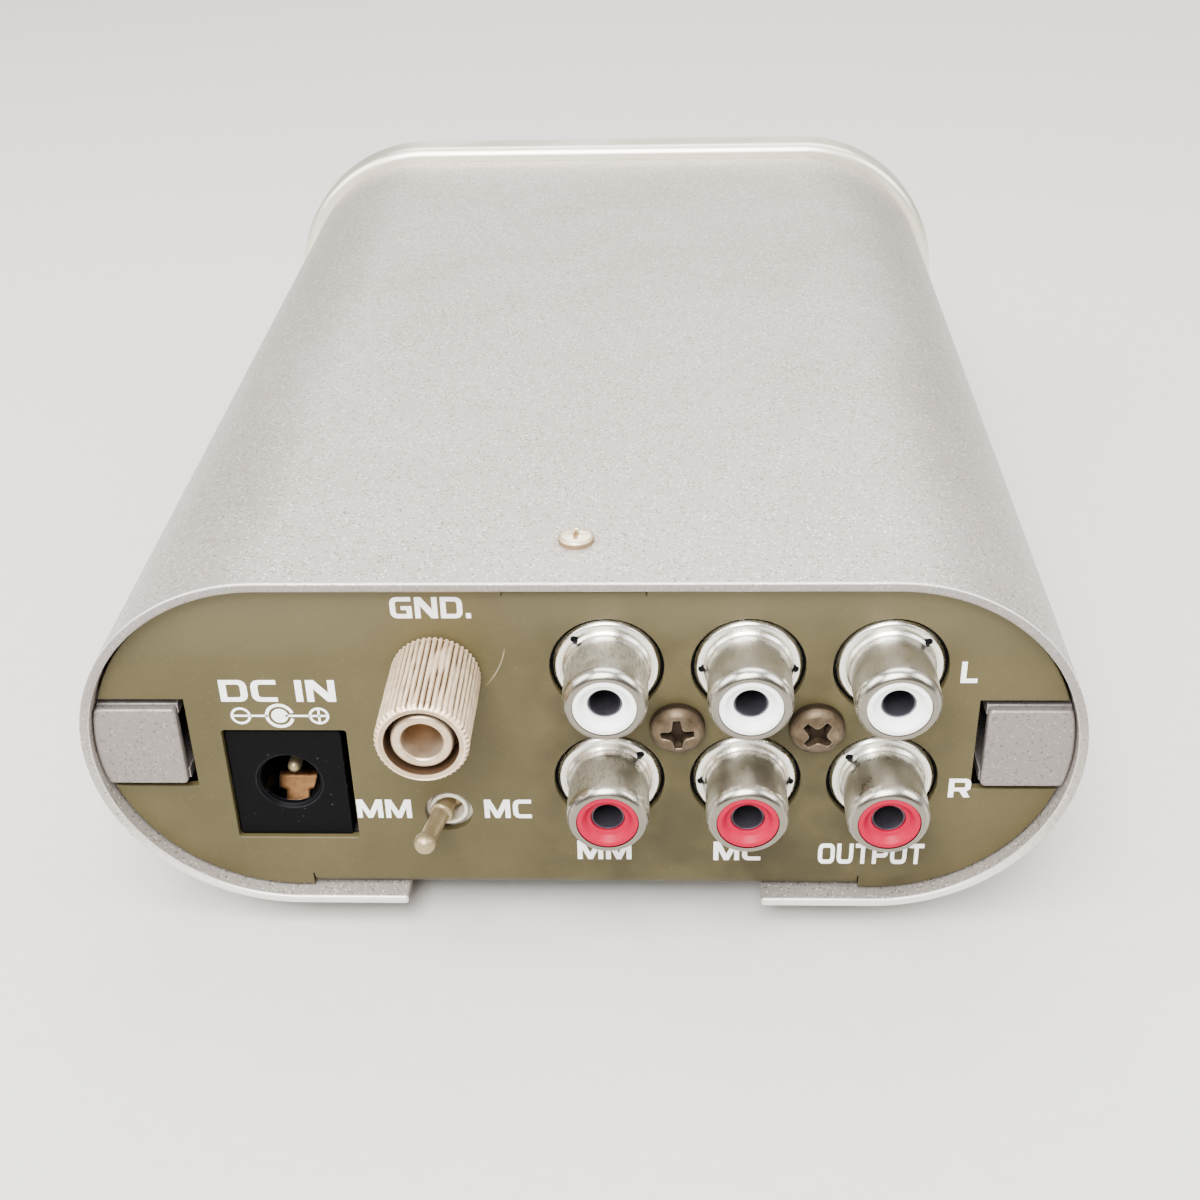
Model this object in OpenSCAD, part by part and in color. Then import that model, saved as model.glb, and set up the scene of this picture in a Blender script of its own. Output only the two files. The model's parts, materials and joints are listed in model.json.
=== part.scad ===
// Small phono preamp: a rolled sleeve with round sides, closed by a thick front plate, over a
// bent sheet tray that carries the connector panel at its rear end and the circuit board inside.
// +Z is up, the connector panel faces -Y and the front plate faces +Y. Millimetres.

/* [Sleeve] */
// Outside width of the sleeve, across its round sides
body_w = 102; // [101:0.5:120]
// Outside height of the sleeve
body_h = 40.6; // [39:0.2:46]
// Length of the sleeve, from its rear rim to the front plate
sleeve_len = 132; // [126:1:160]
// Thickness of the rolled sheet
wall = 1; // [0.8:0.1:1.2]
// Width of the slot between the two lips under the sleeve
lip_gap = 38; // [34:1:39]

/* [Front plate] */
// Thickness of the front plate
plate_t = 6; // [5:0.5:10]
// How far the front plate stands proud of the sleeve, all round
plate_proud = 2; // [1:0.25:3]
// Radius of the front plate's rounded edges
plate_round = 1.5; // [0.5:0.25:2]
// Depth of the spigot that centres the plate in the sleeve
spigot_t = 2; // [1.5:0.25:4]
// Gap round the spigot
spigot_gap = 0.15; // [0.1:0.05:0.3]

/* [Tray and rails] */
// Depth of the rear panel's face inside the sleeve's rim
recess = 1.7; // [1.2:0.1:3]
// Thickness of the tray's sheet
sheet_t = 1; // [0.8:0.1:1.2]
// Distance of the floor's edges from where the sleeve's round sides begin
floor_inset = 1.4; // [1:0.1:2.6]
// Outside radius of the tray's bends
bend_r = 1.8; // [1.5:0.1:2.4]
// Gap between the rear panel's edge and the sleeve
panel_gap = 0.3; // [0.2:0.05:0.5]
// Height of the tray's front flange above its floor
flange_h = 28; // [24:1:30]
// How far each side rail reaches in from the sleeve
rail_w = 9.1; // [8:0.1:9.6]
// Height of a side rail
rail_h = 9.5; // [8:0.5:12]
// Sheet thickness of a side rail
rail_t = 1.2; // [0.8:0.1:1.6]
// Gap between a side rail and its notch in the rear panel
notch_gap = 0.8; // [0.4:0.1:1.2]
// How far a side rail's end stands out of the rear panel
rail_stick = 0.7; // [0.3:0.1:1]

/* [Feet] */
// Diameter of a rubber foot
foot_d = 10; // [8:0.5:10]
// Height of a rubber foot
foot_h = 3.5; // [3.25:0.25:6]
// Distance of the feet from the two ends of the sleeve
foot_inset = 14; // [10:1:20]

/* [Phono jacks] */
// Spacing of the jacks, across and up
jack_pitch = 14; // [13.6:0.2:14.4]
// Distance of the last column of jacks from the right side rail's notch
jack_inset = 9.1; // [8.6:0.1:10]
// Height of the jacks' middle above the sleeve's middle
jack_z = 2.5; // [2:0.25:2.75]
// Outside diameter of a jack's barrel
barrel_d = 8.3; // [8:0.1:8.6]
// How far the straight part of a barrel stands out of the panel
barrel_len = 5.8; // [5:0.2:9]
// Length of the rounded nose of a barrel
nose_len = 1.2; // [0.8:0.1:1.5]
// Diameter of a jack's flange
jack_flange_d = 10.9; // [10.4:0.1:11.2]
// Diameter of the insulator inside a barrel
insulator_d = 6.2; // [5.8:0.1:6.4]
// Bore that takes the plug's centre pin
centre_bore_d = 3.4; // [3.2:0.1:3.6]
// Depth of the moulded block behind the panel
block_d = 9; // [8:0.5:12]

/* [Supply socket] */
// Distance of the supply socket from the left side rail's notch
dc_inset = 9.5; // [9:0.1:10]
// Height of the socket's bore above the board
dc_bore_z = 7.1; // [6.8:0.1:7.6]
// Width of the socket's body
dc_w = 12.1; // [11:0.1:12.4]
// Height of the socket's body
dc_h = 13.6; // [13:0.1:14.5]
// Depth of the socket's body
dc_d = 14; // [12:0.5:16]
// Bore of the socket
dc_bore_d = 6.4; // [6.2:0.1:6.8]
// Diameter of the socket's centre pin
dc_pin_d = 2; // [1.6:0.1:2.5]

/* [Ground terminal] */
// Sideways shift of the ground terminal and toggle switch from midway between socket and jacks
post_shift = -0.2; // [-0.4:0.1:0.4]
// Height of the ground terminal above the sleeve's middle
post_z = 8.9; // [8.5:0.1:9.5]
// Diameter of the threaded post
post_d = 6; // [5.6:0.1:6.2]
// Diameter of the plug bore in the post
plug_bore_d = 4; // [3.6:0.1:4.1]
// Outside diameter of the knurled nut
nut_d = 9.05; // [8.8:0.05:10]
// Length of the knurled nut
nut_len = 11.9; // [11:0.1:14]
// Number of ridges round the nut
knurls = 48; // [36:2:60]

/* [Toggle switch] */
// Height of the toggle switch above the board
toggle_up = 3.55; // [3.4:0.05:4]
// Length of the lever from its pivot to the middle of its tip
lever_len = 8.4; // [7:0.2:10]
// Diameter of the lever's shaft
lever_d = 1.7; // [1.4:0.1:1.8]
// Diameter of the ball at the lever's tip
lever_tip_d = 2.4; // [2.2:0.1:3]
// Angle of the lever to each side of the middle, in degrees
lever_tilt = 13; // [10:1:13]

/* [Board] */
// Height of the board's top face above the underside of the sleeve
board_up = 7.9; // [7.7:0.1:8.3]
// Thickness of the board
board_t = 1.6; // [1:0.2:1.6]
// Width of the board
board_w = 76; // [70:1:77]
// Gap between the front of the board and the tray's front flange
board_front_gap = 12; // [10:1:16]

/* [Hidden] */

$fn = 64;
eps = 0.01;

// Main levels and stations
nut_gap = 0.1;                                    // nut's back to the panel at rest
reach = nut_gap + nut_len - recess;               // ground nut beyond the sleeve's rim
y_rim = (reach - sleeve_len - plate_t) / 2;       // rear rim of the sleeve
y_front = y_rim + sleeve_len;                     // back of the front plate
y_panel = y_rim + recess;                         // outer face of the rear panel
y_inside = y_panel + sheet_t;                     // inner face of the rear panel
y_spigot = y_front - spigot_t;                    // back of the front plate's spigot
r_out = body_h / 2;                               // radius of the sleeve's round sides
half_flat = body_w / 2 - r_out;                   // half the width of the flat top
floor_w = 2 * (half_flat - floor_inset);          // width of the tray's floor
zc = foot_h + r_out;                              // height of the sleeve's middle
z_floor = foot_h + wall;                          // underside of the tray's floor
z_floor_top = z_floor + sheet_t;
z_board = foot_h + board_up;                      // top face of the board
z_board_low = z_board - board_t;
foot_x = (lip_gap + floor_w) / 4;                 // middle of the strip where lip and floor meet
foot_ys = [y_rim + foot_inset, y_front - foot_inset];

// Metric screws: thread, clearance hole, pan head
m3_r = 1.45;
m3_tap_r = 1.5;
m3_hole_r = 1.65;
m3_head_r = 2.8;
m3_head_h = 2;
m3_nut_h = 2.4;
m3_nut_r = 3.1;                                   // across corners
m2_r = 0.95;
m2_tap_r = 1;
m2_hole_r = 1.15;
m2_head_r = 1.8;
m2_head_h = 0.9;
slot_w = 1;                                       // arm of a cross recess on an M3 screw

// Sleeve screw and the panel's top tab
tab_w = 14;
tab_len = 13;
tab_relief = 0.4;                                 // slots beside the bends of the tab and the floor
floor_relief = 0.8;
z_tab = zc + r_out - wall - panel_gap;            // top face of the tab
sleeve_screw_inset = 8.2;
sleeve_screw_y = y_rim + sleeve_screw_inset;
clinch_h = 1.6;
clinch_r = 2.4;
z_clinch = z_tab - sheet_t - clinch_h;            // underside of the clinch nut

// Rubber between a foot screw's head and the lip
foot_seat = 1.2;

// Side rails and their notches
rail_gap = 0.15;
rail_x = body_w / 2 - wall - rail_w;              // inner face of a rail
notch_x = rail_x - notch_gap;
notch_h = rail_h + 2 * notch_gap;
rail_y0 = y_panel - rail_stick;

// Connectors, placed from the notches inwards
jack_x = notch_x - jack_inset - 2 * jack_pitch;   // first column of jacks
jack_xs = [for (i = [0:2]) jack_x + i * jack_pitch];
dc_x = dc_inset - notch_x;
post_x = (dc_x + jack_x) / 2 + post_shift;
cut = 1;                                          // how far a cut runs past a face
jack_z_low = zc + jack_z - jack_pitch / 2;
jack_z_high = jack_z_low + jack_pitch;
jack_hole_r = jack_flange_d / 2 + 0.25;
nose_r = insulator_d / 2 + 0.25;                  // barrel's mouth
insulator_gap = 0.05;
dish_depth = 0.8;
contact_t = 0.5;
contact_r = centre_bore_d / 2 - 0.2;              // grips the plug's pin
block_edge = 6.5;                                 // block beside the middle of the outer jacks
block_x0 = jack_xs[0] - block_edge;
block_x1 = jack_xs[2] + block_edge;
strap_t = 0.4;
strap_gap = 0.5;
strap_edge = 1;                                   // strap inside the block's edges
block_top = z_clinch - strap_gap - strap_t;       // leaves room for the sleeve screw's nut
y_block_back = y_inside + block_d;
panel_screw_xs = [jack_xs[0] + jack_pitch / 2, jack_xs[1] + jack_pitch / 2];
panel_screw_len = 7;
tail_w = 1;
tail_below = 1.2;                                 // solder tails below the board
upper_tail_dx = 3;
strap_tail_dx = -4;
y_tail = y_block_back + strap_t / 2;
board_hole_r = 0.75;

// Supply socket, and the panel's cut-out round it
dc_set_back = 0.5;                                // its face behind the panel's outer face
dc_y = y_panel + dc_set_back;
dc_z = z_board + dc_bore_z;
dc_cut_w = dc_w + 0.8;
dc_cut_dx = 0.3;
dc_cut_low = 0.05;
dc_cut_top = 0.5;
dc_bore_len = 10;
dc_pin_back = 2;                                  // the pin's tip behind the socket's face
leaf_t = 0.3;
leaf_w = 3.6;
leaf_tip_w = 2.2;
leaf_slot_w = leaf_w + 0.4;
leaf_seat = 0.8;                                  // height of the leaf's foot over the board
leaf_gap = 0.3;                                   // leaf to the sides of its slot
leaf_front = 1.2;                                 // leaf's tip behind the socket's face
leaf_neck = 2.8;                                  // where its narrow tongue begins
leaf_crest = 4.4;
y_leaf_back = dc_y + dc_bore_len - 1;
dc_tail_w = 1.4;
dc_pin_gap = 0.05;

// Ground terminal, along its own axis from the panel's outer face
post_flange_r = 3.6;
post_flange_t = 0.8;
washer_gap = 0.05;
washer_t = 0.6;
nut_recess_r = post_flange_r + 0.3;
nut_recess = post_flange_t + washer_t + 2 * washer_gap;
thread_gap = 0.05;
post_gap = 0.1;                                   // post in the panel, the tag and the washer
nut_mouth_r = post_d / 2 + 0.5;
nut_mouth = 3;
nut_front = nut_gap + nut_len;
post_front = nut_front - 0.5;
plug_bore = 7.5;
wire_hole_r = 0.9;
wire_hole_y = 2.6;
post_tail = 6;                                    // post behind the panel's inner face
tag_t = 0.6;
tag_r = 4.8;
tag_reach = 10;
tag_w = 3;
tag_bent = 7;                                     // length of the tongue bent inwards
lock_t = 0.6;
hex_af = 9;
hex_h = 2.4;

// Toggle switch, along its own axis from the panel's outer face
toggle_z = z_board + toggle_up;
toggle_hole_r = 2.5;
bush_face = 0.4;
bush_r = 2.05;
bush_plate_y = sheet_t + 0.2;
bush_plate_t = 0.6;
bush_back = 4.4;
pivot_y = 3.2;
pivot_r = 1.55;
pivot_pin_r = 0.4;                                // cross pin of the lever, in the bushing's wall
pivot_gap = 0.05;
throat_r = lever_d / 2 + 0.5;
throat_y0 = 1.8;
throat_y1 = 2.3;
mouth_r = lever_d / 2 + 1;
tail_len = 3.2;
lever_tail_r = 0.6;
rocker_t = 0.4;
rocker_y = pivot_y + tail_len + lever_tail_r + 0.1 + rocker_t / 2;
rocker_len = 4.8;
rocker_h = 2.4;
rocker_tilt = 8;
rocker_gap = 0.12;
stub_r = 0.25;                                    // pivot stubs of the rocker
stub_z = 0.8;
side_pad_x = 2;
toggle_y1 = bush_plate_y + bush_plate_t;          // front of the switch body
toggle_w = 8.4;
toggle_side = 0.9;
toggle_back_t = 1;
pad_t = 0.4;
pad_gap = 0.1;
mid_pad_y = rocker_y + rocker_t / 2 + rocker_gap;
side_pad_y = rocker_y + side_pad_x * sin(rocker_tilt) + rocker_t / 2 + rocker_gap;
cavity_back = side_pad_y + pad_t + pad_gap;
toggle_y2 = cavity_back + toggle_back_t;
toggle_h = 2 * toggle_up;

// Board and what stands on it
board_y0 = y_inside + 0.3;
board_y1 = y_spigot - sheet_t - board_front_gap;
standoff_h = z_board_low - z_floor_top;
standoff_r = 2.75;
standoff_x = 21;
rear_standoff = 24;                               // its distance from the board's rear edge
front_standoff = 8;
standoff_ys = [board_y0 + rear_standoff, board_y1 - front_standoff];
board_reach = board_y1 - y_rim;                   // board's front edge from the sleeve's rim
front_row = 25;                                   // clears the front standoffs' screws
reservoir_pitch = 13.5;
reservoir_spots = [for (i = [1, 0]) [-27, board_reach - front_row - i * reservoir_pitch]];
reservoir_r = 6.5;
reservoir_h = 25;
coupling_spots = [[-8, 30], [0, 30], [8, 30], [-8, 60], [-8, 78], [-8, 96]];
coupling_r = 3.15;
coupling_h = 11;
film_size = [7.2, 4.6, 9];
film_first = [20, 46];
film_pitch = [9, 12];
film_spots = [for (i = [0, 1], j = [0:3])
    [film_first[0] + i * film_pitch[0], film_first[1] + j * film_pitch[1]]];
ic_spots = [[7, 50], [7, 74]];
socket_size = [10, 10, 4];
socket_rim = 3.5;                                 // sides and ends round the socket's opening
socket_end = 2;
chip_size = [6.4, 9.4, 3.2];
heatsink_gap = 3.9;                               // heatsink to the side rail
heatsink_w = rail_x - heatsink_gap - standoff_x;
regulator_x = -standoff_x - heatsink_w / 2;
regulator_spots = [[regulator_x, 36], [regulator_x, 50]];
regulator_z = 2.2;                                // lower edge of a regulator over the board
regulator_size = [10, 4.5, 15];
regulator_tab_t = 1.3;
regulator_hole_z = regulator_z + regulator_size[2] - 2.8;
heatsink_size = [heatsink_w, 8, 22];
heatsink_t = 1.4;
resistor_rows = [[-16, 40], [-16, 66], [-16, board_reach - front_row],
    [4, board_reach - front_row + 2]];
resistor_r = 1.1;
resistor_len = 6;
resistor_pitch = 3.2;
relay_spot = [30, 32];
relay_size = [10, 15, 10];
choke_spot = [-30, 23.5];
choke_r = 5;
choke_h = 8;

// Power light
led_r = 1.5;
led_len = 5;
pipe_gap = 0.05;
header_size = [5, 4, 6];
y_led_back = y_spigot - led_len;
header_y = board_y1 - header_size[1] / 2 - 1;
wire_r = 0.5;
wire_end = 0.4;                                   // straight end of a wire over the header
ground_wire_r = 0.8;
ground_wire_y = dc_y + dc_d + 2 * ground_wire_r;  // where it comes down
wire_side = [1, 0, 0];                            // the wires run in planes of constant x
led_pitch = 2.54;

// ---------- shared shapes ----------

// Outline of the sleeve in X and Z about its middle, larger by grow
module stadium(grow) {
    square([2 * half_flat, 2 * (r_out + grow)], center = true);
    for (s = [-1, 1])
        translate([s * half_flat, 0])
            circle(r = r_out + grow, $fn = 128);
}

// Extrudes an outline in X and Z about the sleeve's middle, from y0 to y1
module along_y(y0, y1) {
    translate([0, y1, zc])
        rotate([90, 0, 0])
            linear_extrude(y1 - y0)
                children();
}

// Extrudes a profile in Y and Z over the width w about x
module along_x(x, w) {
    translate([x - w / 2, 0, 0])
        rotate([90, 0, 90])
            linear_extrude(w)
                children();
}

// A box from one corner to the opposite one
module span(a, b) {
    translate(a)
        cube(b - a);
}

// A cylinder along Y, from y0 to y1 at x and z
module rod_y(x, z, y0, y1, r) {
    translate([x, y0, z])
        rotate([-90, 0, 0])
            cylinder(r = r, h = y1 - y0);
}

// Turns a profile of [radius, distance towards -Y] about an axis along Y
module turned(x, y, z) {
    translate([x, y, z])
        rotate([90, 0, 0])
            rotate_extrude($fn = 96)
                children();
}

// Rectangle with round corners about the origin
module round_rect(w, h, r) {
    square([w - 2 * r, h], center = true);
    square([w, h - 2 * r], center = true);
    for (i = [-1, 1], j = [-1, 1])
        translate([i * (w / 2 - r), j * (h / 2 - r)])
            circle(r = r);
}

// Round wire as one swept tube through a list of points, with a ring of sides at each point
module wire(points, r) {
    sides = 8;
    n = len(points);
    rings = [for (i = [0:n - 1])
        let (before = points[i] - points[max(i - 1, 0)],
            after = points[min(i + 1, n - 1)] - points[i],
            t = unit(unit(before) + unit(after)),
            u = unit(cross(t, wire_side)),
            v = cross(t, u))
        for (k = [0:sides - 1])
            points[i] + r * (u * cos(k * 360 / sides) + v * sin(k * 360 / sides))];
    walls = [for (i = [0:n - 2], k = [0:sides - 1])
        let (a = i * sides + k, b = i * sides + (k + 1) % sides)
        [a, b, b + sides, a + sides]];
    ends = [[for (k = [sides - 1:-1:0]) k], [for (k = [0:sides - 1]) (n - 1) * sides + k]];
    polyhedron(points = rings, faces = concat(walls, ends));
}

// Unit vector, or zero for a vector of no length
function unit(v) = norm(v) == 0 ? v : v / norm(v);

// Points of a quarter turn about a centre in a plane of constant x, between two angles
function turn_yz(x, y, z, r, a0, a1) =
    [for (i = [0:4]) let (a = a0 + (a1 - a0) * i / 4) [x, y + r * cos(a), z + r * sin(a)]];

// Pan head screw along +Y, its head's seat at the origin; the cross recess is cut into the head
module pan_screw(thread_r, thread_len, head_r, head_h) {
    edge = head_h * 0.35;
    difference() {
        rotate([-90, 0, 0])
            rotate_extrude($fn = 64)
                polygon([[0, -head_h], [head_r - edge, -head_h], [head_r, -head_h + edge],
                    [head_r, 0], [thread_r, 0], [thread_r, thread_len], [0, thread_len]]);
        for (a = [0, 90])
            rotate([0, a, 0])
                translate([-head_r * 0.6, -head_h - eps, -slot_w * thread_r / m3_r / 2])
                    cube([head_r * 1.2, head_h * 0.6, slot_w * thread_r / m3_r]);
    }
}

// The same screw standing upwards
module pan_screw_up(thread_r, thread_len, head_r, head_h) {
    rotate([90, 0, 0])
        pan_screw(thread_r, thread_len, head_r, head_h);
}

// A point on the board, from its spot [x, distance from the rim]
function on_board(spot) = [spot[0], y_rim + spot[1], z_board];

// ---------- case ----------

module sleeve() {
    color("silver")
        difference() {
            along_y(y_rim, y_front)
                difference() {
                    stadium(0);
                    stadium(-wall);
                    translate([0, -r_out])
                        square([lip_gap, 4 * wall], center = true);
                }
            translate([0, sleeve_screw_y, zc])
                cylinder(r = m2_hole_r, h = r_out + cut);
            foot_holes();
        }
}

// Clearance holes where the feet screw through the lips and the floor
module foot_holes() {
    for (s = [-1, 1], y = foot_ys)
        translate([s * foot_x, y, 0])
            cylinder(r = m3_hole_r, h = z_floor_top + cut);
}

// Section of the front plate: radius across, thickness up
module plate_section(r) {
    translate([0, plate_t / 2])
        round_rect(2 * r, plate_t, plate_round);
}

module front_plate() {
    r = r_out + plate_proud;
    color("burlywood")
        difference() {
            union() {
                translate([0, y_front, zc]) {
                    for (s = [-1, 1])
                        translate([s * half_flat, 0, 0])
                            rotate([-90, 0, 0])
                                rotate_extrude($fn = 128)
                                    intersection() {
                                        plate_section(r);
                                        square([r + cut, plate_t]);
                                    }
                    along_x(0, 2 * half_flat)
                        rotate(90)
                            mirror([0, 1])
                                plate_section(r);
                }
                along_y(y_spigot, y_front + eps)
                    stadium(-wall - spigot_gap);
            }
            rod_y(0, zc, y_spigot - cut, y_front + plate_t + cut, led_r + pipe_gap);
            for (s = [-1, 1])
                rod_y(s * floor_w / 3, zc, y_spigot - cut, y_front + plate_t / 2, m3_tap_r);
        }
}

// Quarter of a bent sheet's corner about [y, z]; dy and dz are the sides it faces
module bend(y, z, dy, dz) {
    translate([y, z])
        intersection() {
            difference() {
                circle(r = bend_r, $fn = 48);
                circle(r = bend_r - sheet_t, $fn = 48);
            }
            scale([dy, dz])
                square(bend_r + cut);
        }
}

// Side view of the floor with its two bends and the front flange
module floor_profile() {
    y_flange = y_spigot - sheet_t;
    bend(y_panel + bend_r, z_floor + bend_r, -1, -1);
    translate([y_panel + bend_r, z_floor])
        square([y_spigot - y_panel - 2 * bend_r, sheet_t]);
    bend(y_spigot - bend_r, z_floor + bend_r, 1, -1);
    translate([y_flange, z_floor + bend_r])
        square([sheet_t, flange_h - bend_r]);
}

// Side view of the tab that carries the sleeve's screw
module tab_profile() {
    bend(y_panel + bend_r, z_tab - bend_r, -1, 1);
    translate([y_panel + bend_r, z_tab - sheet_t])
        square([tab_len - bend_r, sheet_t]);
}

// The rear panel's outline with its notches and cut-outs, about the sleeve's middle
module panel_outline() {
    difference() {
        stadium(-wall - panel_gap);
        translate([0, -r_out])
            square([floor_w + 2 * floor_relief, 2 * (wall + bend_r)], center = true);
        for (s = [-1, 1]) {
            translate([s * (tab_w + tab_relief) / 2, r_out])
                square([tab_relief, 2 * (wall + panel_gap + bend_r)], center = true);
            translate([s * (notch_x + body_w / 4), 0])
                square([body_w / 2, notch_h], center = true);
        }
        translate([0, r_out - wall - panel_gap])
            square([tab_w, 2 * bend_r], center = true);
        for (x = jack_xs, z = [jack_z_low, jack_z_high])
            translate([x, z - zc])
                circle(r = jack_hole_r);
        for (x = panel_screw_xs)
            translate([x, jack_z])
                circle(r = m3_hole_r);
        translate([post_x, post_z])
            circle(r = post_d / 2 + post_gap);
        translate([post_x, toggle_z - zc])
            circle(r = toggle_hole_r);
        translate([dc_x + dc_cut_dx - dc_cut_w / 2, z_board - zc - dc_cut_low])
            square([dc_cut_w, dc_h + dc_cut_low + dc_cut_top]);
    }
}

module chassis_tray() {
    color("darkkhaki")
        difference() {
            union() {
                along_y(y_panel, y_inside)
                    panel_outline();
                along_x(0, floor_w)
                    floor_profile();
                along_x(0, tab_w)
                    tab_profile();
            }
            foot_holes();
            for (s = [-1, 1], y = standoff_ys)
                translate([s * standoff_x, y, z_floor - cut])
                    cylinder(r = m3_hole_r, h = sheet_t + 2 * cut);
            translate([0, sleeve_screw_y, z_tab - sheet_t - cut])
                cylinder(r = m2_hole_r, h = sheet_t + 2 * cut);
            rod_y(0, zc, y_spigot - sheet_t - cut, y_spigot + cut, led_r + 2 * pipe_gap);
            for (s = [-1, 1])
                rod_y(s * floor_w / 3, zc, y_spigot - sheet_t - cut, y_spigot + cut, m3_hole_r);
        }
}

// Side rail on the +X side: a folded channel, closed at the rear and open towards the middle
module side_rail() {
    color("silver")
        difference() {
            along_y(rail_y0, y_spigot)
                intersection() {
                    stadium(-wall - rail_gap);
                    translate([rail_x, -rail_h / 2])
                        square([rail_w, rail_h]);
                }
            along_y(rail_y0 + rail_t, y_spigot + cut)
                intersection() {
                    stadium(-wall - rail_gap - rail_t);
                    translate([rail_x - cut, rail_t - rail_h / 2])
                        square([rail_w, rail_h - 2 * rail_t]);
                }
        }
}

module side_rail_right() {
    side_rail();
}

module side_rail_left() {
    mirror([1, 0, 0])
        side_rail();
}

// ---------- fasteners of the case ----------

module sleeve_screw() {
    shank = wall + panel_gap + sheet_t + clinch_h;
    color("wheat")
        translate([0, sleeve_screw_y, zc + r_out])
            rotate([180, 0, 0])
                pan_screw_up(m2_r, shank, m2_head_r, m2_head_h);
}

module clinch_nut() {
    color("lightgray")
        translate([0, sleeve_screw_y, z_clinch])
            difference() {
                cylinder(r = clinch_r, h = clinch_h);
                translate([0, 0, -cut])
                    cylinder(r = m2_tap_r, h = clinch_h + 2 * cut);
            }
}

module plate_screws() {
    color("dimgray")
        for (s = [-1, 1])
            translate([s * floor_w / 3, y_spigot - sheet_t, zc])
                pan_screw(m3_r, sheet_t + spigot_t + plate_t / 2 - 0.5, m3_head_r, m3_head_h);
}

module rubber_feet() {
    color("dimgray")
        for (s = [-1, 1], y = foot_ys)
            translate([s * foot_x, y, 0])
                rotate_extrude($fn = 64)
                    polygon([[m3_head_r + 0.3, 0], [foot_d / 2 - 0.8, 0], [foot_d / 2 - 0.3, 0.5],
                        [foot_d / 2, foot_h], [m3_hole_r, foot_h],
                        [m3_hole_r, foot_h - foot_seat], [m3_head_r + 0.3, foot_h - foot_seat]]);
}

module foot_screws() {
    shank = foot_seat + wall + sheet_t + m3_nut_h + 0.5;
    color("lightgray")
        for (s = [-1, 1], y = foot_ys)
            translate([s * foot_x, y, foot_h - foot_seat])
                pan_screw_up(m3_r, shank, m3_head_r, m3_head_h);
}

module foot_nuts() {
    color("lightgray")
        for (s = [-1, 1], y = foot_ys)
            translate([s * foot_x, y, z_floor_top])
                hex_nut(m3_nut_r, m3_nut_h, m3_tap_r);
}

// Hexagon nut standing on the origin
module hex_nut(corner_r, h, hole_r) {
    difference() {
        cylinder(r = corner_r, h = h, $fn = 6);
        translate([0, 0, -cut])
            cylinder(r = hole_r, h = h + 2 * cut, $fn = 48);
    }
}

// ---------- phono jacks ----------

module rca_block() {
    color("black")
        difference() {
            span([block_x0, y_inside, z_board], [block_x1, y_block_back, block_top]);
            for (x = jack_xs, z = [jack_z_low, jack_z_high])
                rod_y(x, z, y_inside - cut, y_block_back + cut, contact_r + contact_t + insulator_gap);
            for (x = panel_screw_xs)
                rod_y(x, zc + jack_z, y_inside - cut, y_inside + panel_screw_len, m3_tap_r);
        }
}

// Profile of one barrel with its stepped flange and rounded nose, [radius, distance out]
module shell_profile() {
    rb = barrel_d / 2;
    rf = jack_flange_d / 2;
    nose = [for (a = [0:15:90])
        [nose_r + (rb - nose_r) * cos(a), barrel_len + nose_len * sin(a)]];
    polygon(concat([[insulator_d / 2 + insulator_gap, -sheet_t], [rf, -sheet_t], [rf, -0.3],
        [rf - 0.2, -0.1], [rf - 0.45, -0.1], [rf - 0.55, -0.35], [rb + 0.35, -0.35],
        [rb + 0.3, 0.15], [rb, 0.3]], nose,
        [[insulator_d / 2 + insulator_gap, barrel_len + nose_len]]));
}

module rca_shells() {
    color("gainsboro")
        for (x = jack_xs, z = [jack_z_low, jack_z_high])
            turned(x, y_panel, z)
                shell_profile();
}

// Profile of one insulator: a tube with a dished face
module insulator_profile() {
    tip = barrel_len + nose_len;
    ri = centre_bore_d / 2;
    ro = insulator_d / 2;
    polygon([[ri, -sheet_t], [ro, -sheet_t], [ro, tip], [ro - 0.4, tip],
        [ri + 0.15, tip - dish_depth], [ri, tip - dish_depth]]);
}

module rca_insulators_white() {
    color("white")
        for (x = jack_xs)
            turned(x, y_panel, jack_z_high)
                insulator_profile();
}

module rca_insulators_red() {
    color("crimson")
        for (x = jack_xs)
            turned(x, y_panel, jack_z_low)
                insulator_profile();
}

// A jack's centre contact: a sleeve in the block, and a tail down its back into the board
module centre_contact(x, z, tail_dx) {
    difference() {
        rod_y(x, z, y_inside, y_block_back, contact_r + contact_t);
        rod_y(x, z, y_inside - cut, y_block_back + cut, contact_r);
    }
    r = contact_r + contact_t;
    w = tail_w / 2;
    span([min(x - r, x + tail_dx - w), y_block_back, z - w],
        [max(x + r, x + tail_dx + w), y_block_back + strap_t, z + w]);
    span([x + tail_dx - w, y_block_back, z_board_low - tail_below],
        [x + tail_dx + w, y_block_back + strap_t, z + w]);
}

module rca_contacts_upper() {
    color("goldenrod")
        for (x = jack_xs)
            centre_contact(x, jack_z_high, upper_tail_dx);
}

module rca_contacts_lower() {
    color("goldenrod")
        for (x = jack_xs)
            centre_contact(x, jack_z_low, 0);
}

module rca_ground_strap() {
    w = tail_w / 2;
    color("silver") {
        span([block_x0 + strap_edge, y_inside + strap_edge, block_top],
            [block_x1 - strap_edge, y_block_back + strap_t, block_top + strap_t]);
        for (x = jack_xs)
            span([x + strap_tail_dx - w, y_block_back, z_board_low - tail_below],
                [x + strap_tail_dx + w, y_block_back + strap_t, block_top + strap_t]);
    }
}

module panel_screws() {
    color("rosybrown")
        for (i = [0, 1])
            translate([panel_screw_xs[i], y_panel, zc + jack_z])
                rotate([0, i * 45, 0])
                    pan_screw(m3_r, sheet_t + panel_screw_len - 0.3, m3_head_r, m3_head_h);
}

// ---------- supply socket ----------

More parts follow.
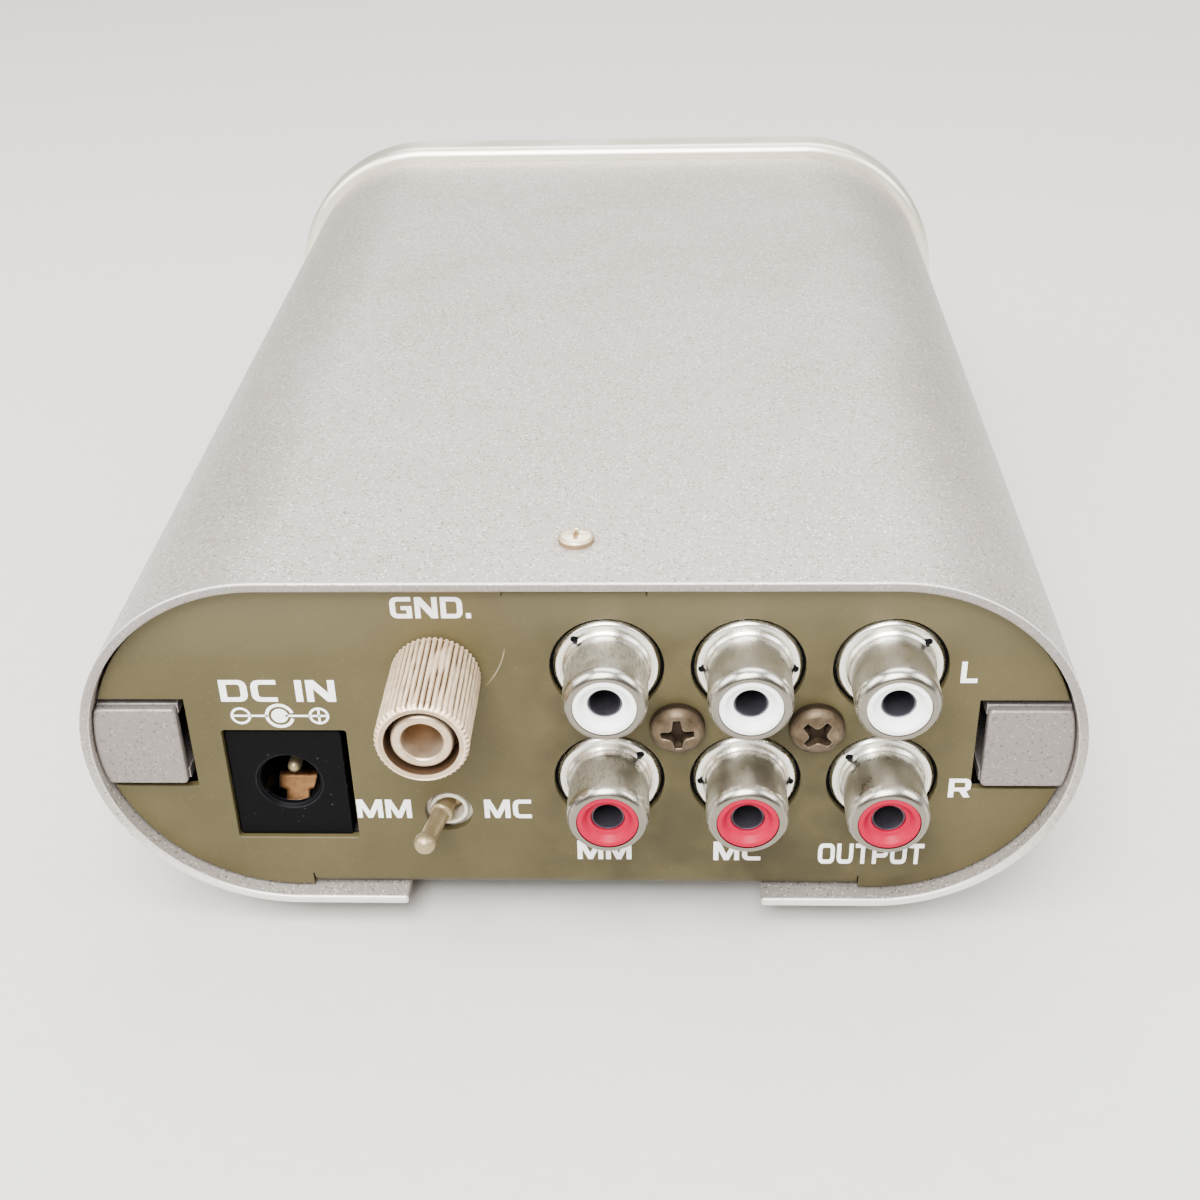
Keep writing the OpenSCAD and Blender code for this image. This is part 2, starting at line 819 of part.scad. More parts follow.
// Side view of the spring leaf in Y and Z: up from the board, forward, and down to its tip
module leaf_profile(y0, y1) {
    crest = dc_z - dc_bore_d / 2 + 0.9;
    low = dc_z - dc_bore_d / 2 - 0.2;
    y_back = y_leaf_back;
    y_tip = dc_y + leaf_front;
    y_crest = dc_y + leaf_crest;
    intersection() {
        polygon([[y_back, z_board_low - tail_below], [y_back, crest - 0.4], [y_crest, crest],
            [y_tip, low], [y_tip, low - leaf_t], [y_crest, crest - leaf_t],
            [y_back - leaf_t, crest - 0.4 - leaf_t], [y_back - leaf_t, z_board_low - tail_below]]);
        translate([y0, 0])
            square([y1 - y0, zc]);
    }
}

module dc_jack_leaf() {
    y_neck = dc_y + leaf_neck;
    color("peru") {
        along_x(dc_x, leaf_tip_w)
            leaf_profile(dc_y, y_neck);
        along_x(dc_x, leaf_w)
            difference() {
                leaf_profile(y_neck, dc_y + dc_d);
                translate([dc_y, 0])
                    square([dc_d, z_board + leaf_seat]);
            }
        along_x(dc_x, dc_tail_w)
            intersection() {
                leaf_profile(y_neck, dc_y + dc_d);
                translate([dc_y, 0])
                    square([dc_d, z_board + leaf_seat]);
            }
    }
}

module dc_jack_body() {
    color("black")
        difference() {
            span([dc_x - dc_w / 2, dc_y, z_board], [dc_x + dc_w / 2, dc_y + dc_d, z_board + dc_h]);
            rod_y(dc_x, dc_z, dc_y - cut, dc_y + dc_bore_len, dc_bore_d / 2);
            rod_y(dc_x, dc_z, dc_y, dc_y + dc_d + cut, dc_pin_d / 2 + dc_pin_gap);
            span([dc_x - leaf_slot_w / 2, dc_y + leaf_front - leaf_gap, z_board + leaf_seat - leaf_gap],
                [dc_x + leaf_slot_w / 2, y_leaf_back + leaf_gap / 3, dc_z]);
            span([dc_x - dc_tail_w / 2 - leaf_gap / 3, y_leaf_back - leaf_t - leaf_gap / 3,
                z_board - cut],
                [dc_x + dc_tail_w / 2 + leaf_gap / 3, y_leaf_back + leaf_gap / 3, dc_z]);
        }
}

// Centre pin with a rounded tip, and its tail down behind the body
module dc_jack_pin() {
    r = dc_pin_d / 2;
    y_tail_front = dc_y + dc_d;
    color("lightgray") {
        rod_y(dc_x, dc_z, dc_y + dc_pin_back + r, y_tail_front + strap_t, r);
        translate([dc_x, dc_y + dc_pin_back + r, dc_z])
            sphere(r = r, $fn = 32);
        span([dc_x - tail_w / 2, y_tail_front, z_board_low - tail_below],
            [dc_x + tail_w / 2, y_tail_front + strap_t, dc_z]);
    }
}

// ---------- ground terminal ----------

// Moves its children onto the ground terminal's axis; +Z there points out of the panel
module on_post() {
    translate([post_x, y_panel, zc + post_z])
        rotate([90, 0, 0])
            children();
}

module ground_post() {
    r = post_d / 2;
    color("tan")
        on_post()
            difference() {
                rotate_extrude($fn = 96)
                    polygon([[0, -sheet_t - post_tail], [r, -sheet_t - post_tail], [r, 0],
                        [post_flange_r, 0], [post_flange_r, post_flange_t], [r, post_flange_t],
                        [r, post_front - 0.35], [r - 0.35, post_front], [0, post_front]]);
                translate([0, 0, post_front - plug_bore])
                    cylinder(r = plug_bore_d / 2, h = plug_bore + cut);
                translate([0, 0, wire_hole_y])
                    rotate([90, 0, 0])
                        cylinder(r = wire_hole_r, h = post_d + 2 * cut, center = true, $fn = 48);
            }
}

module ground_clamp_washer() {
    color("lightgray")
        on_post()
            translate([0, 0, post_flange_t + washer_gap])
                difference() {
                    cylinder(r = post_flange_r, h = washer_t);
                    translate([0, 0, -cut])
                        cylinder(r = post_d / 2 + thread_gap, h = washer_t + 2 * cut);
                }
}

// Cross-section of the knurled nut: shallow straight ridges round a circle
module knurled_circle() {
    depth = 0.18;
    step = 360 / knurls;
    polygon([for (i = [0:knurls - 1], e = [[-0.5, depth], [-0.2, 0], [0.2, 0]])
        let (a = (i + e[0]) * step, r = nut_d / 2 - e[1]) [r * cos(a), r * sin(a)]]);
}

module ground_nut() {
    r = nut_d / 2;
    color("tan")
        on_post()
            difference() {
                intersection() {
                    translate([0, 0, nut_gap])
                        linear_extrude(nut_len)
                            knurled_circle();
                    rotate_extrude($fn = 96)
                        polygon([[0, nut_gap], [r - 0.25, nut_gap], [r + 0.05, nut_gap + 0.3],
                            [r + 0.05, nut_front - 0.45], [r - 0.4, nut_front],
                            [0, nut_front]]);
                }
                translate([0, 0, -cut])
                    cylinder(r = nut_recess_r, h = nut_recess + cut);
                cylinder(r = post_d / 2 + thread_gap, h = nut_front);
                translate([0, 0, nut_front - nut_mouth])
                    cylinder(r = nut_mouth_r, h = nut_mouth + cut);
            }
}

// Solder tag behind the panel; its tongue points away from the jacks and is bent inwards
module ground_tag() {
    x = post_x;
    z = zc + post_z;
    color("silver")
        difference() {
            union() {
                rod_y(x, z, y_inside, y_inside + tag_t, tag_r);
                span([x - tag_reach, y_inside, z - tag_w / 2], [x, y_inside + tag_t, z + tag_w / 2]);
                span([x - tag_reach, y_inside, z - tag_w / 2],
                    [x - tag_reach + tag_t, y_inside + tag_bent, z + tag_w / 2]);
            }
            rod_y(x, z, y_inside - cut, y_inside + tag_t + cut, post_d / 2 + post_gap);
        }
}

module ground_lock_washer() {
    y = y_inside + tag_t;
    color("silver")
        difference() {
            rod_y(post_x, zc + post_z, y, y + lock_t, hex_af / 2);
            rod_y(post_x, zc + post_z, y - cut, y + lock_t + cut, post_d / 2 + post_gap);
        }
}

module ground_hex_nut() {
    color("silver")
        translate([post_x, y_inside + tag_t + lock_t + hex_h, zc + post_z])
            rotate([90, 0, 0])
                hex_nut(hex_af / sqrt(3), hex_h, post_d / 2 + thread_gap);
}

// Wire from the tag's bent tongue, over in a curve and down to the board behind the supply socket
module ground_wire() {
    x = post_x - tag_reach - ground_wire_r;
    z = zc + post_z;
    bow = 5;
    color("green")
        wire(concat([[x, y_inside + tag_bent - 2, z]],
            turn_yz(x, ground_wire_y - bow, z - bow, bow, 90, 0),
            [[x, ground_wire_y, z_board]]), ground_wire_r);
}

// ---------- toggle switch ----------

// Moves its children to the toggle switch: y runs inwards from the panel's outer face
module at_toggle() {
    translate([post_x, y_panel, toggle_z])
        children();
}

// A body of revolution along the switch's axis from [radius, y] points
module toggle_turned(points) {
    rotate([-90, 0, 0])
        rotate_extrude($fn = 64)
            polygon(points);
}

module toggle_bushing() {
    color("lightgray")
        at_toggle() {
            difference() {
                toggle_turned([[mouth_r, bush_face], [bush_r, bush_face], [bush_r, bush_back],
                    [pivot_r + pivot_gap, bush_back], [pivot_r + pivot_gap, throat_y1],
                    [throat_r, throat_y1], [throat_r, throat_y0]]);
                translate([0, pivot_y, 0])
                    cylinder(r = pivot_pin_r + pivot_gap, h = 2 * (bush_r + cut), center = true);
            }
            difference() {
                span([-toggle_w / 2, bush_plate_y, -toggle_up],
                    [toggle_w / 2, toggle_y1, toggle_up]);
                rod_y(0, 0, 0, toggle_y1 + cut, bush_r - 0.1);
            }
        }
}

module toggle_body() {
    h = toggle_up - toggle_side;
    color("firebrick")
        at_toggle()
            difference() {
                span([-toggle_w / 2, toggle_y1, -toggle_up], [toggle_w / 2, toggle_y2, toggle_up]);
                span([-toggle_w / 2 + toggle_side, toggle_y1 - cut, -h],
                    [toggle_w / 2 - toggle_side, cavity_back, h]);
                for (i = [-1, 0, 1])
                    translate([i * side_pad_x, 0, 0])
                        span([-tail_w / 2 - pad_gap, terminal_y(i) - pad_gap, -toggle_up - cut],
                            [tail_w / 2 + pad_gap, terminal_y(i) + pad_t + pad_gap, 0]);
            }
}

// Front face of the middle and the outer terminals
function terminal_y(i) = i == 0 ? mid_pad_y : side_pad_y;

module toggle_terminals() {
    color("silver")
        at_toggle()
            for (i = [-1, 0, 1])
                translate([i * side_pad_x, 0, 0])
                    span([-tail_w / 2, terminal_y(i), -toggle_up - board_t - tail_below],
                        [tail_w / 2, terminal_y(i) + pad_t, rocker_h / 2]);
}

module toggle_lever() {
    color("lightgray")
        at_toggle()
            translate([0, pivot_y, 0])
                rotate([0, 0, -lever_tilt]) {
                    sphere(r = pivot_r);
                    cylinder(r = pivot_pin_r, h = 2 * (bush_r - pivot_gap), center = true);
                    rod_y(0, 0, -lever_len, 0, lever_d / 2);
                    translate([0, -lever_len, 0])
                        sphere(r = lever_tip_d / 2);
                    rod_y(0, 0, 0, tail_len, lever_tail_r);
                    translate([0, tail_len, 0])
                        sphere(r = lever_tail_r, $fn = 32);
                }
}

module toggle_rocker() {
    color("goldenrod")
        at_toggle()
            translate([0, rocker_y, 0])
                rotate([0, 0, rocker_tilt]) {
                    cube([rocker_len, rocker_t, rocker_h], center = true);
                    for (s = [0, 1])
                        mirror([0, 0, s])
                            translate([0, 0, stub_z])
                                cylinder(r = stub_r, h = toggle_up - toggle_side - pivot_gap - stub_z);
                }
}

// ---------- board and its parts ----------

module main_board() {
    tails = [for (x = jack_xs, dx = [0, upper_tail_dx, strap_tail_dx]) [x + dx, y_tail]];
    dc_tails = [[dc_x, y_leaf_back - leaf_t / 2], [dc_x, dc_y + dc_d + strap_t / 2]];
    toggle_tails = [for (i = [-1, 0, 1])
        [post_x + i * side_pad_x, y_panel + terminal_y(i) + pad_t / 2]];
    color("darkgreen")
        difference() {
            span([-board_w / 2, board_y0, z_board_low], [board_w / 2, board_y1, z_board]);
            for (p = concat(tails, dc_tails, toggle_tails))
                translate([p[0], p[1], z_board_low - cut])
                    cylinder(r = board_hole_r, h = board_t + 2 * cut, $fn = 24);
            for (s = [-1, 1], y = standoff_ys)
                translate([s * standoff_x, y, z_board_low - cut])
                    cylinder(r = m3_hole_r, h = board_t + 2 * cut);
        }
}

module board_standoffs() {
    color("goldenrod")
        for (s = [-1, 1], y = standoff_ys)
            translate([s * standoff_x, y, z_floor_top])
                difference() {
                    cylinder(r = standoff_r, h = standoff_h, $fn = 6);
                    translate([0, 0, -cut])
                        cylinder(r = m3_tap_r, h = standoff_h + 2 * cut);
                }
}

module board_screws() {
    color("silver")
        for (s = [-1, 1], y = standoff_ys)
            translate([s * standoff_x, y, z_board])
                rotate([180, 0, 0])
                    pan_screw_up(m3_r, board_t + standoff_h * 0.6, m3_head_r, m3_head_h);
}

// Round can with a crimped groove above its foot
module can(r, h) {
    rotate_extrude($fn = 48)
        polygon([[0, 0], [r, 0], [r, 1.5], [r - 0.4, 2], [r, 2.5], [r, h - 0.5], [r - 0.5, h],
            [0, h]]);
}

module reservoir_capacitors() {
    color("midnightblue")
        for (p = reservoir_spots)
            translate(on_board(p))
                can(reservoir_r, reservoir_h);
}

module coupling_capacitors() {
    color("seagreen")
        for (p = coupling_spots)
            translate(on_board(p))
                can(coupling_r, coupling_h);
}

module film_capacitors() {
    color("firebrick")
        for (p = film_spots)
            translate(on_board(p) + [-film_size[0] / 2, -film_size[1] / 2, 0])
                cube(film_size);
}

module ic_sockets() {
    color("black")
        for (p = ic_spots)
            translate(on_board(p) + [-socket_size[0] / 2, -socket_size[1] / 2, 0])
                difference() {
                    cube(socket_size);
                    translate([socket_rim, socket_end, -cut])
                        cube([socket_size[0] - 2 * socket_rim, socket_size[1] - 2 * socket_end,
                            socket_size[2] + 2 * cut]);
                }
}

// Eight-legged chip: a body with a notch, and a row of flat legs down each side
module chip() {
    leg = [0.5, 0.6, 2.4];
    difference() {
        translate([-chip_size[0] / 2, -chip_size[1] / 2, 0])
            cube(chip_size);
        translate([0, chip_size[1] / 2, chip_size[2] - 0.5])
            cylinder(r = 0.9, h = 1, $fn = 32);
    }
    for (s = [-1, 1], i = [-1.5:1:1.5])
        translate([s * (chip_size[0] / 2 + leg[0] / 2) - leg[0] / 2, i * led_pitch - leg[1] / 2, 0])
            cube(leg);
}

module op_amps() {
    color("black")
        for (p = ic_spots)
            translate(on_board(p) + [0, 0, socket_size[2]])
                chip();
}

// Heatsink: a folded U whose web carries the regulator
module heatsinks() {
    s = heatsink_size;
    color("dimgray")
        for (p = regulator_spots)
            translate(on_board(p) + [-s[0] / 2, 0, 0])
                difference() {
                    cube(s);
                    translate([heatsink_t, heatsink_t, -cut])
                        cube([s[0] - 2 * heatsink_t, s[1], s[2] + 2 * cut]);
                    translate([s[0] / 2, -cut, regulator_hole_z])
                        rotate([-90, 0, 0])
                            cylinder(r = m3_tap_r, h = heatsink_t + 2 * cut);
                }
}

// Regulator: a thick lower body, a thin tab with a hole, and three legs into the board
module regulators() {
    s = regulator_size;
    leg = [0.8, 0.6, regulator_z + 1];
    color("darkslategray")
        for (p = regulator_spots)
            translate(on_board(p)) {
                difference() {
                    union() {
                        translate([-s[0] / 2, -s[1], regulator_z])
                            cube([s[0], s[1], s[2] * 0.6]);
                        translate([-s[0] / 2, -regulator_tab_t, regulator_z])
                            cube([s[0], regulator_tab_t, s[2]]);
                    }
                    translate([0, -regulator_tab_t - cut, regulator_hole_z])
                        rotate([-90, 0, 0])
                            cylinder(r = m3_hole_r, h = regulator_tab_t + 2 * cut);
                }
                for (i = [-1, 0, 1])
                    translate([i * led_pitch - leg[0] / 2, -s[1] / 2 - leg[1] / 2, 0])
                        cube(leg);
            }
}

module regulator_screws() {
    color("silver")
        for (p = regulator_spots)
            translate(on_board(p) + [0, -regulator_tab_t, regulator_hole_z])
                pan_screw(m3_r, regulator_tab_t + heatsink_t + 1, m3_head_r, m3_head_h);
}

// Rows of four axial resistors lying on the board, each with its two bent legs
module resistors() {
    lead = 0.5;
    shift = 1;
    color("cornflowerblue")
        for (row = resistor_rows, i = [0:3])
            translate(on_board(row) + [i % 2 * shift, i * resistor_pitch, resistor_r]) {
                translate([-resistor_len / 2, 0, 0])
                    rotate([0, 90, 0])
                        cylinder(r = resistor_r, h = resistor_len, $fn = 32);
                for (s = [-1, 1]) {
                    translate([s * (resistor_len / 2 + lead / 2), 0, 0])
                        cube([lead + 0.1, lead, lead], center = true);
                    translate([s * (resistor_len / 2 + lead) - lead / 2, -lead / 2, -resistor_r])
                        cube([lead, lead, resistor_r + lead / 2]);
                }
            }
}

module mute_relay() {
    color("darkorange")
        translate(on_board(relay_spot) + [-relay_size[0] / 2, -relay_size[1] / 2, 0])
            cube(relay_size);
}

module power_choke() {
    color("black")
        translate(on_board(choke_spot))
            rotate_extrude($fn = 48)
                polygon([[0, 0], [choke_r, 0], [choke_r, 1.2], [choke_r - 1.2, 1.8],
                    [choke_r - 1.2, choke_h - 1.8], [choke_r, choke_h - 1.2], [choke_r, choke_h],
                    [0, choke_h]]);
}

// ---------- power light ----------

module light_pipe() {
    color("white")
        rod_y(0, zc, y_spigot + 0.2, y_front + plate_t, led_r);
}

// Domed diode in the flange's hole, with a rim behind the flange
module power_led() {
    rim = 0.8;
    color("deepskyblue") {
        rod_y(0, zc, y_led_back, y_spigot - 0.2, led_r);
        rod_y(0, zc, y_spigot - sheet_t - rim, y_spigot - sheet_t, led_r + 0.4);
    }
}

module led_header() {
    color("white")
        translate([-header_size[0] / 2, header_y - header_size[1] / 2, z_board])
            cube(header_size);
}

// Two wires from the diode, over in a curve and down into the header
module led_wires() {
    bow = zc - z_board - header_size[2] - wire_end;
    color("crimson")
        for (s = [-1, 1]) {
            x = s * led_pitch / 4;
            wire(concat([[x, y_led_back, zc]],
                turn_yz(x, header_y + bow, zc - bow, bow, 90, 180),
                [[x, header_y, z_board + header_size[2]]]), wire_r);
        }
}

sleeve();
front_plate();
chassis_tray();
side_rail_left();
side_rail_right();
sleeve_screw();
clinch_nut();
plate_screws();
rubber_feet();
foot_screws();
foot_nuts();
rca_block();
rca_shells();
rca_insulators_white();
rca_insulators_red();
rca_contacts_upper();
rca_contacts_lower();
rca_ground_strap();
panel_screws();
dc_jack_body();
dc_jack_pin();
dc_jack_leaf();
ground_post();
ground_clamp_washer();
ground_nut();
ground_tag();
ground_lock_washer();
ground_hex_nut();
ground_wire();
toggle_body();
toggle_bushing();
toggle_lever();
toggle_rocker();
toggle_terminals();
main_board();
board_standoffs();
board_screws();
reservoir_capacitors();
coupling_capacitors();
film_capacitors();
ic_sockets();
op_amps();
regulators();
heatsinks();
regulator_screws();
resistors();
mute_relay();
power_choke();
led_header();
led_wires();
power_led();
light_pipe();
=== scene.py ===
# %% [markdown]
# # A small phono preamp
# The real one is a rolled steel sleeve with round sides in silver metallic paint. A bent tray slides into
# it and carries the connector panel, and a thick champagne-coloured plate closes the far end.
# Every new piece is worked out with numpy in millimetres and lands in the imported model's frame, in metres:
# +Z is up and the connectors face -Y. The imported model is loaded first, so that nothing needs fitting.

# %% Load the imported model
import json
import math
import bmesh
import bpy
import numpy as np
from mathutils import Matrix, Vector
from mathutils.geometry import delaunay_2d_cdt


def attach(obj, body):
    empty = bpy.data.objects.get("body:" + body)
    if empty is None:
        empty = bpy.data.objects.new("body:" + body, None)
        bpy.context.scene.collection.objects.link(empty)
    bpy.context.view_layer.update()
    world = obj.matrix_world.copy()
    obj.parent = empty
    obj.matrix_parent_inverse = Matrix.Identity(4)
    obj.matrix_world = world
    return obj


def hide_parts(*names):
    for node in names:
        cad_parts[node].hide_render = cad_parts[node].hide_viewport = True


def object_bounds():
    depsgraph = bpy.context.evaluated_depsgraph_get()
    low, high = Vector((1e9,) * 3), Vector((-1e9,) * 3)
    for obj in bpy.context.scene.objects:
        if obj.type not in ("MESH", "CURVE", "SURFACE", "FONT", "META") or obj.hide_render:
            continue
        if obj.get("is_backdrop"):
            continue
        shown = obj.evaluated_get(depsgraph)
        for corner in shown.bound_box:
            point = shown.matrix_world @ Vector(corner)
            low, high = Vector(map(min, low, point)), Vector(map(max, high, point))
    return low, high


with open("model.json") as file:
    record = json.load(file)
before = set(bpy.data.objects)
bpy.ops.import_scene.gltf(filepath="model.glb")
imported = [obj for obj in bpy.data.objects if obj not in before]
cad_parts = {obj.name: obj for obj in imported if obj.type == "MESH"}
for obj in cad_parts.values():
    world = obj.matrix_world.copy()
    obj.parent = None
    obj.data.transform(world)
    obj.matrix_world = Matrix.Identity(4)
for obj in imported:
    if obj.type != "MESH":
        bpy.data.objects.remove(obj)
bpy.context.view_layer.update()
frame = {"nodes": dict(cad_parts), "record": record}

MM = 0.001

# %% [markdown]
# ## Camera
# A camera needs a place, a direction and a lens. This one looks down on the connector end from a hand's
# breadth away, so the far end looks clearly narrower. Its own three axes are the columns of its matrix.

# %% Camera
LENS, SENSOR, NEAREST = 49.349, 36.0, 0.005
EYE = Vector((9.196, -196.394, 125.371)) * MM
PITCH, YAW, ROLL = (math.radians(a) for a in (32.0437, -2.8457, -1.5756))


def show(name, data):
    """Makes an object of a mesh, a lamp or a camera, and puts it into the scene."""
    thing = bpy.data.objects.new(name, data)
    bpy.context.scene.collection.objects.link(thing)
    return thing


ahead = Vector((math.sin(YAW) * math.cos(PITCH), math.cos(YAW) * math.cos(PITCH), -math.sin(PITCH)))
level = Vector((math.cos(YAW), -math.sin(YAW), 0))
upright = level.cross(ahead)
right = math.cos(ROLL) * level + math.sin(ROLL) * upright
above = math.cos(ROLL) * upright - math.sin(ROLL) * level
camera = show("camera", bpy.data.cameras.new("camera"))
camera.data.lens, camera.data.sensor_width, camera.data.clip_start = LENS, SENSOR, NEAREST
camera.matrix_world = Matrix((right, above, -ahead)).transposed().to_4x4()
camera.matrix_world.translation = EYE
bpy.context.scene.camera = camera
print("camera", [round(c / MM) for c in camera.matrix_world.translation], "mm, lens", LENS)

# %% [markdown]
# ## Nodes of a material
# Colours are written as sRGB hex codes, but the renderer counts in linear light, so one function converts
# them. A second one adds a node, sets its properties and fills its sockets, with a value or with another
# node's output. Everything else is built from these two.

# %% Colours and nodes
def linear(code):
    """Linear colour from an sRGB hex code: c / 12.92 near black, else ((c + 0.055) / 1.055) to the 2.4."""
    c = np.array([int(code[i:i + 2], 16) for i in (1, 3, 5)]) / 255
    return (*np.where(c <= 0.04045, c / 12.92, ((c + 0.055) / 1.055) ** 2.4), 1.0)


def add_node(tree, kind, settings=None, sockets=None):
    """Adds a node. A socket is named or numbered; it takes a value or is linked to another's output."""
    node = tree.nodes.new("ShaderNode" + kind)
    for name, value in (settings or {}).items():
        setattr(node, name, value)
    for name, value in (sockets or {}).items():
        if isinstance(value, bpy.types.NodeSocket):
            tree.links.new(value, node.inputs[name])
        else:
            node.inputs[name].default_value = value
    return node


print("champagne in linear light:", [round(float(c), 3) for c in linear("#d9c9ae")[:3]])

# %% [markdown]
# ## Floor and light
# A pale sheet of card under the object and large soft lamps round it are the usual set-up for product
# pictures. The sky is kept dim, because polished metal only looks like metal when it mirrors something
# bright beside something darker.

# %% Floor and lamps
FLOOR, CARD_FIBRE = 4.0, 2.5     # half the floor's width in metres, length of the card's fibres in mm
floor_mesh = bpy.data.meshes.new("floor")
floor_mesh.from_pydata([(x * FLOOR, y * FLOOR, 0) for x, y in ((-1, -1), (1, -1), (1, 1), (-1, 1))],
                       [], [(0, 1, 2, 3)])
floor = show("floor", floor_mesh)
floor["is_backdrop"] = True

card = bpy.data.materials.new("matt_card")
card.use_nodes = True
tree = card.node_tree
fibre = add_node(tree, "TexNoise", None, {"Vector": add_node(tree, "TexCoord").outputs["Object"],
                                          "Scale": 1 / (CARD_FIBRE * MM), "Detail": 5.0})
shade = add_node(tree, "Mix", {"data_type": "RGBA"},
                 {0: fibre.outputs["Fac"], 6: linear("#c3c0bb"), 7: linear("#cbc8c3")})
tree.links.new(shade.outputs[2], tree.nodes["Principled BSDF"].inputs["Base Color"])
tree.nodes["Principled BSDF"].inputs["Roughness"].default_value = 0.9
floor_mesh.materials.append(card)

world = bpy.data.worlds.new("studio")
bpy.context.scene.world = world
world.use_nodes = True
world.node_tree.nodes["Background"].inputs["Color"].default_value = linear("#f2f1ef")
world.node_tree.nodes["Background"].inputs["Strength"].default_value = 0.4

LAMPS = {"over_head": ((-0.06, -0.34, 0.55), 0.40, 11.0),     # place and size in metres, power in watts
         "behind": ((0.08, 0.50, 0.76), 0.80, 11.5),
         "over_shoulder": ((-0.12, -0.65, 0.52), 0.30, 6.0),
         "low_left": ((-0.62, -0.15, 0.50), 0.50, 7.0),
         "low_right": ((0.66, -0.15, 0.50), 0.50, 6.2)}
AIM = Vector((0, 0, 0.02))
for name, (place, size, power) in LAMPS.items():
    lamp = show(name, bpy.data.lights.new(name, "AREA"))
    lamp.data.size, lamp.data.energy, lamp.location = size, power, place
    lamp.rotation_euler = (AIM - Vector(place)).to_track_quat("-Z", "Y").to_euler()
print("floor", 2 * FLOOR, "m wide,", len(LAMPS), "lamps")

# %% [markdown]
# ## What all finishes share
# No real surface has one flat colour. A finish here has two close colours in soft patches, a fine grain
# that tilts the surface a little, a roughness that changes from place to place, and edges where handling
# has worn it. The Bevel node finds those edges: it looks round a point and gives a softened direction,
# which differs from the true one only near an edge. Layers such as tarnish are laid over that, through
# masks that are products of ramps.

# %% Masks, and a finish from the sizes of its patches, grain and edges
def mask(tree, strength, *limits):
    """The strength times a ramp for each limit. A limit is (what, low, high): its ramp goes from 0 at low
    to 1 at high, along an axis in millimetres or with a node's output."""
    product = strength
    for what, low, high in limits:
        if isinstance(what, str):
            place = add_node(tree, "TexCoord").outputs["Object"]
            axes = add_node(tree, "SeparateXYZ", None, {0: place}).outputs
            what, low, high = axes[what], low * MM, high * MM
        ramp = add_node(tree, "MapRange", None, {"Value": what, "From Min": low, "From Max": high}).outputs[0]
        product = add_node(tree, "Math", {"operation": "MULTIPLY"}, {0: product, 1: ramp}).outputs[0]
    return product


def make_finish(name, colours, worn, metallic, rough, sizes, wear=0.6, soften=False, gloss_level=0.5):
    """A material from two colours in patches and a worn edge colour. The sizes, in millimetres, are those
    of the patches, of the grain, of the grain's depth and of the worn edges."""
    patch_size, grain, depth, edge = sizes
    material = bpy.data.materials.new(name)
    material.use_nodes = True
    tree = material.node_tree
    shader = tree.nodes["Principled BSDF"]
    place = add_node(tree, "TexCoord").outputs["Object"]
    patches = add_node(tree, "TexNoise", None, {"Vector": place, "Scale": 1 / (patch_size * MM),
                                                "Detail": 5.0, "Roughness": 0.6}).outputs["Fac"]
    fine = add_node(tree, "TexNoise", None, {"Vector": place, "Scale": 1 / (grain * MM), "Detail": 2.0})
    body = add_node(tree, "Mix", {"data_type": "RGBA"}, {
        0: mask(tree, 1.0, (patches, 0.3, 0.7)), 6: linear(colours[0]), 7: linear(colours[1])})
    soft = add_node(tree, "Bevel", {"samples": 6}, {"Radius": edge * MM}).outputs["Normal"]
    true = add_node(tree, "NewGeometry").outputs["Normal"]
    turn = add_node(tree, "VectorMath", {"operation": "DOT_PRODUCT"}, {0: soft, 1: true}).outputs["Value"]
    colour = add_node(tree, "Mix", {"data_type": "RGBA"}, {
        0: mask(tree, wear, (turn, 0.995, 0.85), (patches, 0.25, 0.55)), 6: body.outputs[2], 7: linear(worn)})
    gloss = add_node(tree, "MapRange", None, {"Value": patches, "From Min": 0.3, "From Max": 0.7,
                                              "To Min": rough[0], "To Max": rough[1]})
    bump = add_node(tree, "Bump", None, {"Height": fine.outputs["Fac"], "Strength": 1.0,
                                         "Distance": depth * MM})
    if soften:
        tree.links.new(soft, bump.inputs["Normal"])
    for socket, output in (("Base Color", colour.outputs[2]), ("Roughness", gloss.outputs[0]),
                           ("Normal", bump.outputs[0])):
        tree.links.new(output, shader.inputs[socket])
    shader.inputs["Metallic"].default_value = metallic
    shader.inputs["Specular IOR Level"].default_value = gloss_level
    print(name, "with patches of", patch_size, "mm and a grain of", grain, "mm")
    return material


def lay_over(material, code, rough, strength, *limits):
    """Lays a thin layer, such as dust or tarnish, over a finish, through a mask with these limits."""
    tree = material.node_tree
    shader = tree.nodes["Principled BSDF"]
    colour, gloss = (shader.inputs[s].links[0].from_socket for s in ("Base Color", "Roughness"))
    where = mask(tree, strength, *limits)
    top = add_node(tree, "Mix", {"data_type": "RGBA"}, {0: where, 6: colour, 7: linear(code)})
    matt = add_node(tree, "Mix", None, {0: where, 2: gloss, 3: rough})
    tree.links.new(top.outputs[2], shader.inputs["Base Color"])
    tree.links.new(matt.outputs[0], shader.inputs["Roughness"])


def specks(material, size, share, seed=0.0):
    """Limits of small round specks, in random cells as wide as size; share of them carry a speck."""
    tree = material.node_tree
    cells = add_node(tree, "TexVoronoi", {"voronoi_dimensions": "4D"}, {
        "Vector": add_node(tree, "TexCoord").outputs["Object"], "W": seed, "Scale": 1 / (size * MM)}).outputs
    number = add_node(tree, "SeparateColor", None, {0: cells["Color"]}).outputs[0]
    return (number, 1 - share, 1 - share * 0.6), (cells["Distance"], 0.45, 0.25)


print("helpers for finishes are ready")

# %% [markdown]
# ## Silver metallic stove paint
# Aluminium flakes in a satin lacquer, half mirror and half paint: an even silver-grey that glitters in tiny
# points. Real flakes are 0.05 mm wide and are drawn 0.3 mm wide, so that they show.

